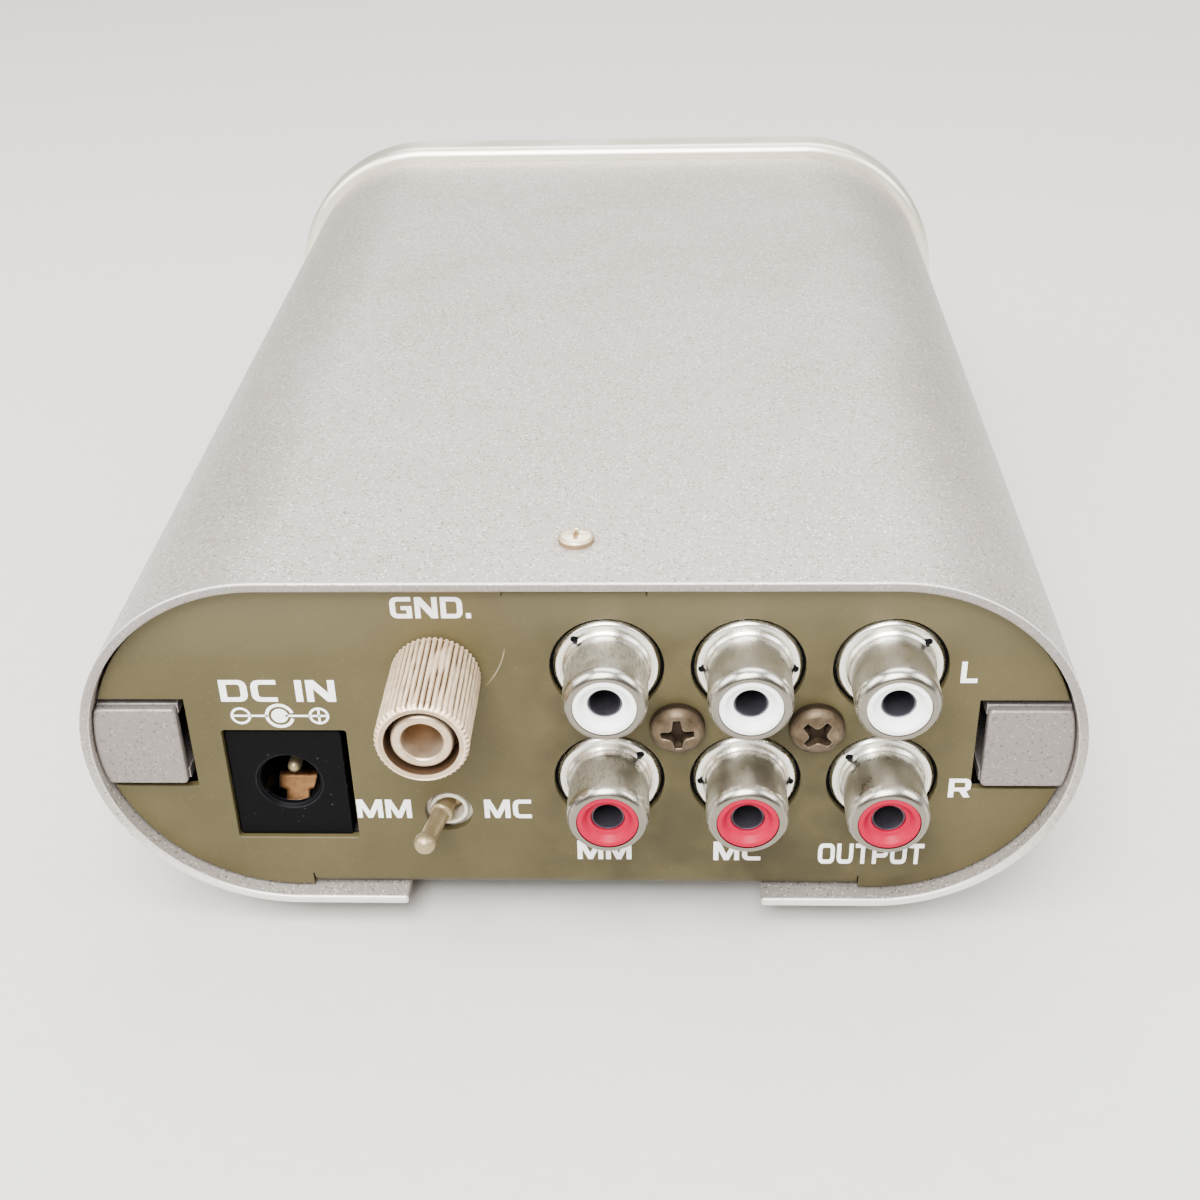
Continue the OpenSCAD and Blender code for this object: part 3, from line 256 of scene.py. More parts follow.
# %% Silver paint of the sleeve and of the rails
def flaked(name, colours, worn, light, dark):
    """A paint with bright flakes near its surface and dark ones deeper in it."""
    # The worn edges are at full strength here: partly wear, partly a painted highlight along the edges.
    paint = make_finish(name, colours, worn, 0.5, (0.40, 0.46), (18, 0.3, 0.012, 0.3), wear=1.0)
    lay_over(paint, light, 0.33, 0.8, *specks(paint, 0.34, 0.8))
    lay_over(paint, dark, 0.55, 0.85, *specks(paint, 0.38, 0.8, seed=3.0))
    return paint


silver_paint = flaked("silver_metallic_stove_paint", ("#a59d94", "#ada49d"), "#fffdfa", "#f0e9e2", "#686159")
# The rails carry the same paint, drawn darker: painted shade.
rail_paint_in_painted_shade = flaked("silver_metallic_stove_paint_darkened_as_painted_shade", ("#7d7572", "#837b78"), "#d6cfca",
                    "#9b9490", "#5e5857")
# The rounded edge behind the sleeve's rim carries a painted highlight, a near-white band. The cut rim
# itself, the last 0.1 mm before y = -63.85 mm, is painted greyer above, painted shade, and paler below,
# painted light.
# Painted highlight on the rounded edge behind the rim.
lay_over(silver_paint, "#fffdfa", 0.36, 0.7, ("Y", -63.56, -63.64), ("Y", -63.78, -63.7))
# The cut rim is painted greyer towards the top (painted shade) and paler towards the bottom (painted light).
lay_over(silver_paint, "#7f7874", 0.5, 0.72, ("Y", -63.74, -63.82), ("Z", 16, 30))
lay_over(silver_paint, "#efe8e1", 0.5, 0.78, ("Y", -63.74, -63.82), ("Z", 16, 7))

# %% [markdown]
# ## Olive bronze satin paint
# A powder paint with a little bronze mica in it: a warm grey-green. It is painted paler towards the top
# edge, a painted reflection, and darker round the jacks in soft clouds, painted shade. A hair-thin scratch
# beside the ground terminal is a thin ring, of which limits to its height and side leave only a short arc.

# %% Olive paint of the panel
olive_paint = make_finish("olive_bronze_satin_paint", ("#474027", "#534b31"), "#b5aa88", 0.15, (0.42, 0.52),
                          (14, 0.3, 0.004, 0.12), wear=0.7, gloss_level=0.25)
lay_over(olive_paint, "#6c6446", 0.4, 0.22, *specks(olive_paint, 0.35, 0.3))
# Paler towards the top edge: a painted reflection.
lay_over(olive_paint, "#6d654c", 0.5, 0.42, ("Z", 34, 42))
tree = olive_paint.node_tree
spot = add_node(tree, "TexCoord").outputs["Object"]
# Soft dark clouds round the jacks: painted shade.
painted_shade_cloud = add_node(tree, "TexNoise", None, {"Vector": spot, "Scale": 1 / (5 * MM),
                                          "Detail": 2.0}).outputs["Fac"]
lay_over(olive_paint, "#352f1c", 0.55, 0.62, (painted_shade_cloud, 0.35, 0.62), ("X", -8, -2), ("X", 40, 34), ("Z", 40, 35))

RING_X, RING_Z, RING_R = -15.63, 36.94, 8.7
flat_spot = add_node(tree, "VectorMath", {"operation": "MULTIPLY"}, {0: spot, 1: (1, 0, 1)}).outputs[0]
reach = add_node(tree, "VectorMath", {"operation": "DISTANCE"},
                 {0: flat_spot, 1: (RING_X * MM, 0, RING_Z * MM)})
off_ring = add_node(tree, "Math", {"operation": "SUBTRACT"}, {0: reach.outputs["Value"], 1: RING_R * MM})
off_ring = add_node(tree, "Math", {"operation": "ABSOLUTE"}, {0: off_ring.outputs[0]}).outputs[0]
lay_over(olive_paint, "#b3a888", 0.5, 0.5, (off_ring, 0.07 * MM, 0.03 * MM), ("Z", 31.0, 32.2),
         ("Z", 35.8, 35.0), ("X", -12, -11))

# %% [markdown]
# ## Champagne metals
# The plate is bead-blasted and anodised: a pale warm metal with a fine matt grain and bright edges. The
# terminal is plated brass; on its knurled nut brown tarnish stays in the grooves and in the mouth, where no
# finger rubs it off, and the nut carries an attribute that is 1 there. The top screw is yellow chromated; it
# is painted brown below z = 44.72 mm, painted shade in its recess and a painted shadow round its head's foot.

# %% Champagne finishes
champagne = make_finish("champagne_anodised_aluminium", ("#ece2d0", "#f3eadb"), "#fffaf0", 0.85, (0.34, 0.44),
                        (12, 0.25, 0.006, 0.4), wear=0.8)
nut_metal = make_finish("worn_champagne_plated_brass", ("#bda386", "#d8c3a8"), "#fff1de", 0.8, (0.32, 0.48),
                        (1.4, 0.14, 0.01, 0.14), wear=0.9)
knurled = make_finish("knurled_champagne_plated_brass", ("#dcc09d", "#f8e2c2"), "#fff0d6", 0.6, (0.38, 0.55),
                      (1.2, 0.14, 0.012, 0.12), wear=0.8)
hidden = add_node(knurled.node_tree, "Attribute", {"attribute_name": "tarnish"}).outputs["Fac"]
lay_over(knurled, "#493420", 0.6, 1.0, (hidden, 0.05, 0.75))
yellow_screw = make_finish("yellow_chromated_steel", ("#e6d6b2", "#f1e6ca"), "#fffcee", 0.75, (0.28, 0.42),
                           (0.9, 0.15, 0.006, 0.15), wear=0.8)
# Brown below z = 44.72 mm: painted shade in the recess and a painted shadow round the foot of the head.
lay_over(yellow_screw, "#80592e", 0.6, 0.8, ("Z", 44.72, 44.5))

# %% [markdown]
# ## Nickel, zinc and copper alloys
# Nickel is a slightly yellow mirror. The switch's bushing is satin and its lever has tarnished. The panel
# screws' zinc has gone brown, and they are painted darker deeper than 0.6 mm under the head's top at
# y = -64.13 mm: in their recesses, and along the heads' sides next to the panel as a painted shadow.
# Zinc-plated steel is a cool grey, spring bronze a dark red-brown that shines at its edges, and tinned copper
# a warm white metal.

# %% Nickel, zinc and copper finishes
nickel = make_finish("nickel_plated_brass", ("#c2bdb3", "#d6d2c9"), "#f6f3ec", 1.0, (0.14, 0.28),
                     (2.2, 0.2, 0.003, 0.15))
tarnished = make_finish("tarnished_zinc_plated_steel", ("#46392b", "#685947"), "#b8aa92", 0.8, (0.32, 0.5),
                        (0.9, 0.15, 0.01, 0.12), wear=0.7)
# Darker deeper than 0.6 mm under the heads' tops: in the recesses, and a painted shadow on the heads' sides
# next to the panel.
lay_over(tarnished, "#241a10", 0.7, 0.85, ("Y", -63.5, -63.0))
lever_metal = make_finish("tarnished_nickel_plated_brass", ("#968563", "#ac9b79"), "#e9dfcc", 0.75,
                          (0.34, 0.48), (1.2, 0.15, 0.005, 0.1), wear=0.5)
satin_nickel = make_finish("satin_nickel_plated_brass", ("#d6ccb8", "#e6decd"), "#fffaf0", 0.35, (0.36, 0.48),
                           (1.2, 0.15, 0.005, 0.12), wear=0.7)
# The contact tubes are coloured dark as painted shade, so that the holes look black.
tube_metal_in_painted_shade = make_finish("spring_brass_darkened_as_painted_shade", ("#3a363f", "#48444d"), "#85828c", 0.6, (0.45, 0.6),
                         (1.5, 0.2, 0.004, 0.2))
bright_steel = make_finish("zinc_plated_steel", ("#b4b6b8", "#c2c3c2"), "#e6e6e4", 1.0, (0.3, 0.42),
                           (2.5, 0.2, 0.005, 0.2), soften=True)
bronze = make_finish("phosphor_bronze_spring", ("#4c3118", "#745230"), "#dcb896", 0.8, (0.36, 0.5),
                     (0.9, 0.15, 0.004, 0.09), wear=0.8)
tinned = make_finish("tinned_copper", ("#c7a78c", "#d8c3ae"), "#efe2d4", 1.0, (0.3, 0.42),
                     (1.5, 0.2, 0.004, 0.2), soften=True)

# %% [markdown]
# ## Scuffed nickel of the jacks
# Plugs rub the outer part of each barrel to a grey satin and leave its foot bright, so the scuffs start
# 1.35 mm in front of the panel, whose face lies at y = -62.15 mm, and end at the rounded nose. The two jacks
# at x = 3 mm were used most; the others keep more of their shine. The flat noses are painted darker, a
# painted dark reflection.

# %% Scuffed nickel
barrel_nickel = make_finish("scuffed_nickel_plated_brass", ("#e4e0d6", "#f1eee6"), "#fffdf8", 1.0,
                            (0.2, 0.34), (2.5, 0.2, 0.004, 0.15), wear=0.7)
tree = barrel_nickel.node_tree
spot = add_node(tree, "TexCoord").outputs["Object"]
streaks = add_node(tree, "VectorMath", {"operation": "MULTIPLY"}, {0: spot, 1: (1, 0.3, 1)}).outputs[0]
rub = add_node(tree, "TexNoise", None, {"Vector": streaks, "Scale": 1 / (0.35 * MM), "Detail": 6.0,
                                        "Roughness": 0.7}).outputs["Fac"]
blotch = add_node(tree, "TexNoise", None, {"Vector": spot, "Scale": 1 / (3.5 * MM),
                                           "Detail": 2.0}).outputs["Fac"]
across = add_node(tree, "SeparateXYZ", None, {0: spot}).outputs["X"]
used = add_node(tree, "MapRange", None, {"Value": across, "From Min": 12 * MM, "From Max": 8 * MM,
                                         "To Min": 0.35}).outputs[0]
scuffed = (("Y", -63.5, -64.1), ("Y", -68.1, -67.7), (blotch, 0.25, 0.5), (used, 0, 1))
lay_over(barrel_nickel, "#ebe7db", 0.42, 1.0, *scuffed)
lay_over(barrel_nickel, "#a49e8a", 0.5, 0.75, *scuffed, (rub, 0.48, 0.6))
# The noses painted darker: a painted dark reflection.
lay_over(barrel_nickel, "#6f695d", 0.26, 0.9, ("Y", -68.3, -69.0))

# %% [markdown]
# ## Plastics, rubber and ink
# Injection moulded and satin: the bump is the fine spark texture of the mould. Plastics have no metal in
# them and differ mainly in roughness; rubber is the dullest. Dust sits on the black nylon. Screen printing
# ink dries to a flat, slightly uneven white.

# %% Plastics, rubber and ink
black_plastic = make_finish("black_moulded_nylon", ("#030304", "#060607"), "#3a3840", 0, (0.5, 0.62),
                            (3, 0.25, 0.008, 0.2), gloss_level=0.06)
lay_over(black_plastic, "#55515a", 0.9, 0.3, *specks(black_plastic, 0.3, 0.04))
white_plastic = make_finish("white_moulded_abs", ("#fafaf8", "#ffffff"), "#ffffff", 0, (0.28, 0.38),
                            (3, 0.25, 0.004, 0.15))
red_plastic = make_finish("crimson_moulded_abs", ("#98002a", "#a40030"), "#c9204c", 0, (0.3, 0.4),
                          (3, 0.25, 0.004, 0.15), gloss_level=0.12)
rubber = make_finish("moulded_rubber", ("#1b1b1b", "#242424"), "#3a3a3a", 0, (0.7, 0.85), (2, 0.3, 0.02, 0.4))
ink = make_finish("white_screen_printing_ink", ("#faf8f3", "#ffffff"), "#ffffff", 0, (0.45, 0.6),
                  (1.5, 0.2, 0.004, 0.2))
clear_lens = make_finish("frosted_acrylic", ("#e6ecee", "#f0f4f5"), "#ffffff", 0, (0.3, 0.4),
                         (1.5, 0.3, 0.004, 0.2))

# %% [markdown]
# ## The pieces on the circuit board, and every slot's finish
# The board is glass cloth in green resin. Towards its end at y = -60.8 mm it is painted near-black, painted
# shade. The imported model says which material slot each of its nodes has, so a table gives every slot its
# finish; an object's own slot is filled, and its mesh is left alone.

# %% Board finishes and slots
board_green = make_finish("glass_epoxy_board", ("#1d5a34", "#246a3e"), "#b9c78a", 0, (0.3, 0.42),
                          (5, 0.5, 0.01, 0.2), soften=True)
# Near-black towards the board's end: painted shade.
lay_over(board_green, "#17120c", 0.8, 1.0, ("Y", -57.8, -58.3))
SLOT_FINISH = {
    "case_paint": silver_paint, "front_plate": champagne, "tray_plate": olive_paint, "nickel": nickel,
    "champagne_metal": nut_metal, "worn_steel": tarnished, "bright_steel": bright_steel,
    "copper_alloy": tinned, "bronze": bronze, "black_plastic": black_plastic, "board": board_green,
    "white_plastic": white_plastic, "red_plastic": red_plastic, "rubber": rubber, "diode_lens": clear_lens}
ON_BOARD = {   # slot: name, two colours, worn edge, metallic, roughness, patches in mm, softened edges
    # glossy shrunk film
    "can_sleeve": ("shrink_sleeve_blue", ("#14244e", "#1a2d5e"), "#4a5c92", 0, (0.25, 0.35), 4, True),
    "can_green": ("shrink_sleeve_green", ("#1f5d3c", "#286b47"), "#6aa884", 0, (0.25, 0.35), 4, True),
    # dipped in resin, with round wet-looking edges
    "film_box": ("dipped_film_box", ("#8f2118", "#a02a1e"), "#c9665a", 0, (0.3, 0.4), 4, True),
    "resistor_blue": ("resistor_lacquer", ("#4f86b4", "#5b92c0"), "#9cc0dc", 0, (0.3, 0.45), 1.5, True),
    # extruded and dyed, and moulded: both satin
    "dark_metal": ("black_anodised_aluminium", ("#26272a", "#303134"), "#7c7d80", 1, (0.4, 0.5), 4, True),
    "relay_orange": ("orange_polyester_case", ("#c86a1c", "#d67726"), "#eeaa70", 0, (0.35, 0.45), 4, True),
    # extruded soft vinyl, a little waxy
    "wire_red": ("red_wire_cover", ("#a81c1c", "#b82626"), "#d66a6a", 0, (0.4, 0.5), 2, False),
    "wire_green": ("green_wire_cover", ("#23703a", "#2c8046"), "#6fb486", 0, (0.4, 0.5), 2, False)}
for slot, (*start, patch_size, soften) in ON_BOARD.items():
    SLOT_FINISH[slot] = make_finish(*start, (patch_size, 0.3, 0.01, 0.2), soften=soften)
for part in frame["record"]["subparts"]:
    for slot in frame["nodes"][part["node"]].material_slots:
        slot.material = SLOT_FINISH[part["material_slot"]]
print(sum(len(node.material_slots) for node in frame["nodes"].values()), "slots have a finish")

# %% [markdown]
# ## From arrays to pieces
# A surface of two parameters is a grid of points, and its faces follow from the grid's numbering alone.
# Pieces are closed solids, so after the points that two patches share are merged, the faces can be turned
# outwards without doubt. Edges sharper than 35 degrees stay crisp and everything else is shaded smooth.

# %% Grids, joined parts and finished pieces
MERGE, SLIVER = 1e-7, 1e-8    # metres: points this near are one, and shorter edges go


def grid_faces(rows, columns, closed=False):
    """Four-sided faces of a grid whose columns close into a ring; closed closes its rows as well."""
    i, j = np.meshgrid(np.arange(rows if closed else rows - 1), np.arange(columns), indexing="ij")
    up, on = (i + 1) % rows, (j + 1) % columns
    corners = [i * columns + j, i * columns + on, up * columns + on, up * columns + j]
    return np.stack(corners, -1).reshape(-1, 4)


def join(*parts):
    """Several parts as one. A part is its points and a list of arrays of faces."""
    starts = np.cumsum([0] + [len(points) for points, _ in parts])
    faces = [block + start for start, (_, blocks) in zip(starts, parts) for block in blocks]
    return np.vstack([points for points, _ in parts]), faces


def make_solid(name, *parts):
    """One closed mesh from parts in millimetres: shared points merged, faces turned outwards."""
    points, blocks = join(*parts)
    mesh = bpy.data.meshes.new(name)
    mesh.from_pydata(points * MM, [], [face for block in blocks for face in block.tolist()])
    bm = bmesh.new()
    bm.from_mesh(mesh)
    bmesh.ops.remove_doubles(bm, verts=bm.verts, dist=MERGE)
    bmesh.ops.dissolve_degenerate(bm, dist=SLIVER, edges=bm.edges)
    bmesh.ops.recalc_face_normals(bm, faces=bm.faces)
    open_edges = sum(not edge.is_manifold for edge in bm.edges)
    bm.to_mesh(mesh)
    bm.free()
    print(name, len(mesh.polygons), "faces,", open_edges, "open edges")
    return show(name, mesh)


def drill(piece, *cutters):
    """Cuts closed shapes out of a piece."""
    cutter = make_solid("cutter", *cutters)
    cut = piece.modifiers.new("holes", "BOOLEAN")
    cut.operation, cut.solver, cut.object = "DIFFERENCE", "EXACT", cutter
    mesh = bpy.data.meshes.new_from_object(piece.evaluated_get(bpy.context.evaluated_depsgraph_get()))
    piece.modifiers.clear()
    piece.data = mesh
    bpy.data.objects.remove(cutter)


def hand_over(piece, finish, slot, *nodes, body="case", sharp=35):
    """Gives a piece its finish and shading, hangs it on the empty of the body it rides on, and hides the
    imported nodes that it stands for.
    """
    piece.data.materials.clear()
    piece.data.materials.append(finish)
    piece.data.shade_smooth()
    piece.data.set_sharp_from_angle(angle=math.radians(sharp))
    piece.modifiers.new("flat_stays_flat", "WEIGHTED_NORMAL").keep_sharp = True
    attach(piece, body)
    if nodes:
        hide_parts(*nodes)
    print("  ", piece.name, "rides on", body, "for", nodes)


# %% [markdown]
# ## Rounded outlines and turned surfaces
# Almost every edge of the real object is slightly round, and that thin highlight is what the eye reads as
# real. So an outline or a profile is written with its plain corners, and one function rounds them all.

# %% Outlines and turned surfaces
def rounded(corners, radii, steps=6):
    """A closed outline with rounded corners. Each corner becomes an arc about the point that lies
    radius / sin(half the angle) along its bisector, swept from one side's touching point to the other's."""
    p = np.asarray(corners, float)
    r = np.broadcast_to(np.asarray(radii, float), len(p))[:, None]
    back, on = np.roll(p, 1, 0) - p, np.roll(p, -1, 0) - p
    back /= np.linalg.norm(back, axis=1, keepdims=True)
    on /= np.linalg.norm(on, axis=1, keepdims=True)
    half = np.arccos(np.clip((back * on).sum(1, keepdims=True), -1, 1)) / 2
    middle = (back + on) / np.maximum(np.linalg.norm(back + on, axis=1, keepdims=True), 1e-9)
    centre = p + middle * r / np.sin(half)
    reach = r / np.tan(half)
    start, end = p + back * reach - centre, p + on * reach - centre
    sweep = (np.pi - 2 * half)[:, None]
    t = np.linspace(0, 1, steps)[None, :, None]
    swept = np.sin((1 - t) * sweep) * start[:, None] + np.sin(t * sweep) * end[:, None]
    points = (centre[:, None] + swept / np.maximum(np.sin(sweep), 1e-9)).reshape(-1, 2)
    apart = np.linalg.norm(points - np.roll(points, 1, 0), axis=1) > 1e-6
    return points[apart]


def arc(x, z, radius, angles):
    """Points of an arc: x + r cos a and z + r sin a. A pair of radii gives an ellipse."""
    radius_x, radius_z = np.broadcast_to(radius, 2)
    return np.column_stack([x + radius_x * np.cos(angles), z + radius_z * np.sin(angles)])


def circle(radius, x=0.0, z=0.0, count=96):
    """Points all the way round a circle."""
    return arc(x, z, radius, np.arange(count) * 2 * np.pi / count)


def oblong(width, height, radius, x=0.0, z=0.0):
    """A rectangle with rounded corners about x and z."""
    corners = np.array([(-1, -1), (1, -1), (1, 1), (-1, 1)]) * (width / 2, height / 2)
    return rounded(corners, radius, steps=5) + (x, z)


def turned(profile, count=96, shrink=0.0, closed=False):
    """Surface of revolution: a profile's (r, h) goes to (r cos a, r sin a, h). shrink, by row and
    column, lowers r where the surface has ridges. A closed profile makes a ring."""
    a = np.arange(count) * 2 * np.pi / count
    r = profile[:, :1] - shrink
    points = np.stack([r * np.cos(a), r * np.sin(a), profile[:, 1:] + 0 * a], -1)
    return points.reshape(-1, 3), [grid_faces(len(profile), count, closed)]


def rod(radius, low, high, count=96):
    """A plain cylinder between two heights: the turned profile (0, low), (r, low), (r, high), (0, high)."""
    return turned(np.array([(0, low), (radius, low), (radius, high), (0, high)]), count)


print("a rounded square has", len(oblong(10, 10, 1)), "points")

# %% [markdown]
# ## Sheets with holes
# A flat sheet is a triangulated front, the same back, and round each outline a strip that rounds its cut
# edge. A constrained triangulation keeps every outline point, so strip and faces meet exactly.

# %% Sheets
def patch(loops, loose=(), creases=()):
    """Triangles inside the first loop and outside the others: those whose middle has an odd number of
    the loops' sides to its right. Loose points only make the surface finer."""
    starts = np.cumsum([0] + [len(loop) for loop in loops])
    index = np.concatenate([np.column_stack([np.arange(a, b), np.roll(np.arange(a, b), -1)])
                            for a, b in zip(starts, starts[1:])])
    points = np.vstack([*loops, *loose])
    found = delaunay_2d_cdt([Vector(p) for p in points], index.tolist() + list(creases), [], 0, 1e-7)
    flat, triangles = np.array([tuple(v) for v in found[0]]), np.array(found[2])
    middle = flat[triangles].mean(1)
    a, b = points[index[:, 0]], points[index[:, 1]]
    spans = (a[:, 1] > middle[:, 1:]) != (b[:, 1] > middle[:, 1:])
    rise = np.where(a[:, 1] == b[:, 1], 1, b[:, 1] - a[:, 1])
    crossing = a[:, 0] + (middle[:, 1:] - a[:, 1]) * (b[:, 0] - a[:, 0]) / rise
    inside = (spans & (middle[:, :1] < crossing)).sum(1) % 2 == 1
    return flat, triangles[inside]


def inset_rings(loop, insets, hole=False):
    """A loop moved into the material by each inset, along the mean direction of its two sides."""
    x, z = loop.T
    turns_left = (x * np.roll(z, -1) - np.roll(x, -1) * z).sum() > 0
    side = np.roll(loop, -1, 0) - loop
    side /= np.linalg.norm(side, axis=1, keepdims=True)
    normal = np.column_stack([-side[:, 1], side[:, 0]]) * (1 if turns_left != hole else -1)
    last = np.roll(normal, 1, 0)
    move = (last + normal) / (1 + (last * normal).sum(1, keepdims=True))
    return loop + np.asarray(insets)[:, None, None] * move


def sheet_part(loops, thick, edge=0.12, steps=4, creases=()):
    """A sheet as (across, up, depth). Its cut edges are rounded: inset e (1 - sin q) at depth
    e (1 - cos q) for q up to a right angle, and the same again at the back."""
    q = np.linspace(0, np.pi / 2, steps)
    inset, depth = edge * (1 - np.sin(q)), edge * (1 - np.cos(q))
    inset, depth = np.concatenate([inset, inset[::-1]]), np.concatenate([depth, thick - depth[::-1]])
    rings = [inset_rings(loop, inset, hole=n > 0) for n, loop in enumerate(loops)]
    parts = []
    for ring in rings:
        level = np.broadcast_to(depth[:, None, None], ring.shape[:2] + (1,))
        parts.append((np.concatenate([ring, level], 2).reshape(-1, 3), [grid_faces(*ring.shape[:2])]))
    for k, d in ((0, 0.0), (-1, thick)):
        flat, triangles = patch([ring[k] for ring in rings], creases=creases)
        parts.append((np.column_stack([flat, np.full(len(flat), d)]), [triangles]))
    return join(*parts)


print("a test sheet has", len(sheet_part([oblong(10, 10, 1), circle(2)], 1.0)[0]), "points")

# %% [markdown]
# ## Where things are
# Connector pieces are made about their own axis, with the last of their three numbers pointing out of the
# panel, and are then set on the panel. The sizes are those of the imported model.

# %% Sizes and places
Y_PANEL, Y_RIM, Y_FRONT = -62.15, -63.85, 68.15      # panel's face, sleeve's rear rim, its far end
Z_MIDDLE, ROUND, FLAT = 23.8, 20.3, 30.7             # sleeve's middle, radius of its sides, half its flat
WALL, M3_HOLE, TOP_HOLE = 1.0, 1.65, 1.15            # sleeve's sheet, radii of screw holes
INSIDE = ROUND - WALL
JACK_X, JACK_Z = (3.0, 17.0, 31.0), (19.3, 33.3)
JACKS = [(x, z) for x in JACK_X for z in JACK_Z]
TERMINAL, TOGGLE, SUPPLY = (-14.0, 32.7), (-14.0, 14.95), (-30.6, 18.5)
SCREW_X, SCREW_Z = (10.0, 24.0), 26.3
FOOT_X, FOOT_Y = 24.15, (-49.85, 54.15)
FEET = [(side * FOOT_X, y) for side in (-1, 1) for y in FOOT_Y]
TOP_SCREW_Y = -55.65


def on_panel(part, x, z, turn=0.0, out=0.0):
    """Sets a part, made as (across, up, out), on the panel at x and z, turned about its own axis."""
    points, faces = part
    c, s = math.cos(turn), math.sin(turn)
    a, b, h = points.T
    return np.column_stack([x + c * a - s * b, Y_PANEL - out - h, z + s * a + c * b]), faces


def into_panel(part, x=0.0, z=Z_MIDDLE, start=0.0):
    """Sets a sheet, made as (across, up, depth), so that its front is start behind the panel's face."""
    a, b, d = part[0].T
    return np.column_stack([x + a, Y_PANEL + start + d, z + b]), part[1]


def standing(part, x, y, z):
    """Sets a part that stands on its own axis at a place."""
    return part[0] + (x, y, z), part[1]


# %% [markdown]
# ## The sleeve
# A strip of steel sheet is rolled round the two sides until its edges almost meet underneath, where they
# form two lips. As a surface: a small closed profile, the sheet cut along its length, is carried round
# the outline from lip to lip. Its corners are rounded by the thickness of the paint, and the last
# rings shrink a little, which rounds the lips' cut edges too.

# %% Sleeve
LIP, PAINT_EDGE, EDGE_BAND = 19.0, 0.28, 0.6


def body_path(lip, flat_steps=16, arc_steps=72):
    """Round the body from under one side to under the other: for each step the place of the arc's
    centre, which walks along the flat parts, and the direction outwards."""
    walk, over = np.linspace(lip, FLAT, flat_steps), np.linspace(0, FLAT, flat_steps)
    side = np.linspace(-np.pi / 2, np.pi / 2, arc_steps)[1:-1]
    here = np.full(len(side), FLAT)
    centre = np.concatenate([walk, here, over[::-1], -over[1:], -here, -walk[::-1]])
    down = np.full(flat_steps, -np.pi / 2)
    top = np.full(2 * flat_steps - 1, np.pi / 2)
    return centre, np.concatenate([down, side, top, side + np.pi, down + 2 * np.pi])


def round_the_body(centre, angle, radius, y):
    """Points at centre + radius x direction, at y: a profile carried round the body."""
    shape = np.broadcast_shapes(np.shape(centre), np.shape(radius))
    x, z = centre + radius * np.cos(angle), Z_MIDDLE + radius * np.sin(angle)
    return np.stack([x + np.zeros(shape), y + np.zeros(shape), z + np.zeros(shape)], -1).reshape(-1, 3)


profile = rounded([(INSIDE, Y_RIM), (ROUND, Y_RIM), (ROUND, Y_RIM + EDGE_BAND), (ROUND, Y_FRONT - EDGE_BAND),
                   (ROUND, Y_FRONT), (INSIDE, Y_FRONT), (INSIDE, Y_FRONT - EDGE_BAND),
                   (INSIDE, Y_RIM + EDGE_BAND)], np.array([1, 1, 0, 0, 1, 1, 0, 0]) * PAINT_EDGE)
middle = np.array([ROUND - WALL / 2, (Y_RIM + Y_FRONT) / 2])
centre, angle = body_path(LIP)
q = np.linspace(0, np.pi / 2, 5)
near, small = PAINT_EDGE * (1 - np.sin(q)), PAINT_EDGE * (1 - np.cos(q))
under = np.full(len(q), -np.pi / 2)
centre = np.concatenate([(LIP + near)[::-1], centre[1:-1], -LIP - near])[:, None]
angle = np.concatenate([under, angle[1:-1], under + 2 * np.pi])[:, None]
shrink = np.concatenate([small[::-1], np.zeros(len(centre) - 2 * len(q)), small])[:, None]
inner = np.sign(middle - profile)
rings = round_the_body(centre, angle, profile[:, 0] + shrink * inner[:, 0],
                       profile[:, 1] + shrink * inner[:, 1])
caps = np.arange(len(profile))[None] + np.array([[0], [len(rings) - len(profile)]])
sleeve = make_solid("sleeve_shell", (rings, [grid_faces(len(centre), len(profile)), caps]))
drill(sleeve, standing(rod(TOP_HOLE, 0, 5), 0, TOP_SCREW_Y, 41),
      *[standing(rod(M3_HOLE, 0, 4), x, y, 2) for x, y in FEET])
hand_over(sleeve, silver_paint, "case_paint", "sleeve")

# %% [markdown]
# ## The front plate
# A thick plate of anodised aluminium with the sleeve's outline, a little larger, and with well rounded
# edges. Here the profile runs from the middle of the face over the edge to the middle of the back, and
# the same path round the body carries it; where its radius is 0 the surface closes along a line.

# %% Front plate
PROUD, PLATE, SPIGOT, PIPE_HOLE, PIPE_FLARE = 1.98, 6.0, 2.0, 1.62, 0.25
face, back, root = Y_FRONT + PLATE, Y_FRONT, Y_FRONT - SPIGOT
plate_r, spigot_r = ROUND + PROUD, INSIDE - 0.15
profile = rounded([(0, face), (plate_r, face), (plate_r, back), (spigot_r, back), (spigot_r, root),
                   (0, root)], [0, 1.5, 1.5, 0.1, 0.3, 0], steps=9)
centre, angle = body_path(0, flat_steps=24, arc_steps=96)
rings = round_the_body(centre, angle, profile[:, :1], profile[:, 1:])
front = make_solid("front_plate_shell", (rings, [grid_faces(len(profile), len(centre))]))
pipe_cut = np.array([(0, -1), (PIPE_HOLE, -1), (PIPE_HOLE, 7.8), (PIPE_HOLE + PIPE_FLARE, 8.05),
                     (PIPE_HOLE + PIPE_FLARE, 9), (0, 9)])
drill(front, on_panel(turned(pipe_cut * (1, -1)), 0, Z_MIDDLE, out=Y_PANEL - root))
hand_over(front, champagne, "front_plate", "front_plate", sharp=30)

# %% [markdown]
# ## The tray
# The panel, the floor and a flange are one sheet. The shop cuts a flat blank with all its holes and then
# folds it, and so do these cells: the blank is a sheet with holes, and a function of each point's place
# on the blank folds it, round a cylinder at each bend. Slots beside the bends let the corners go free.

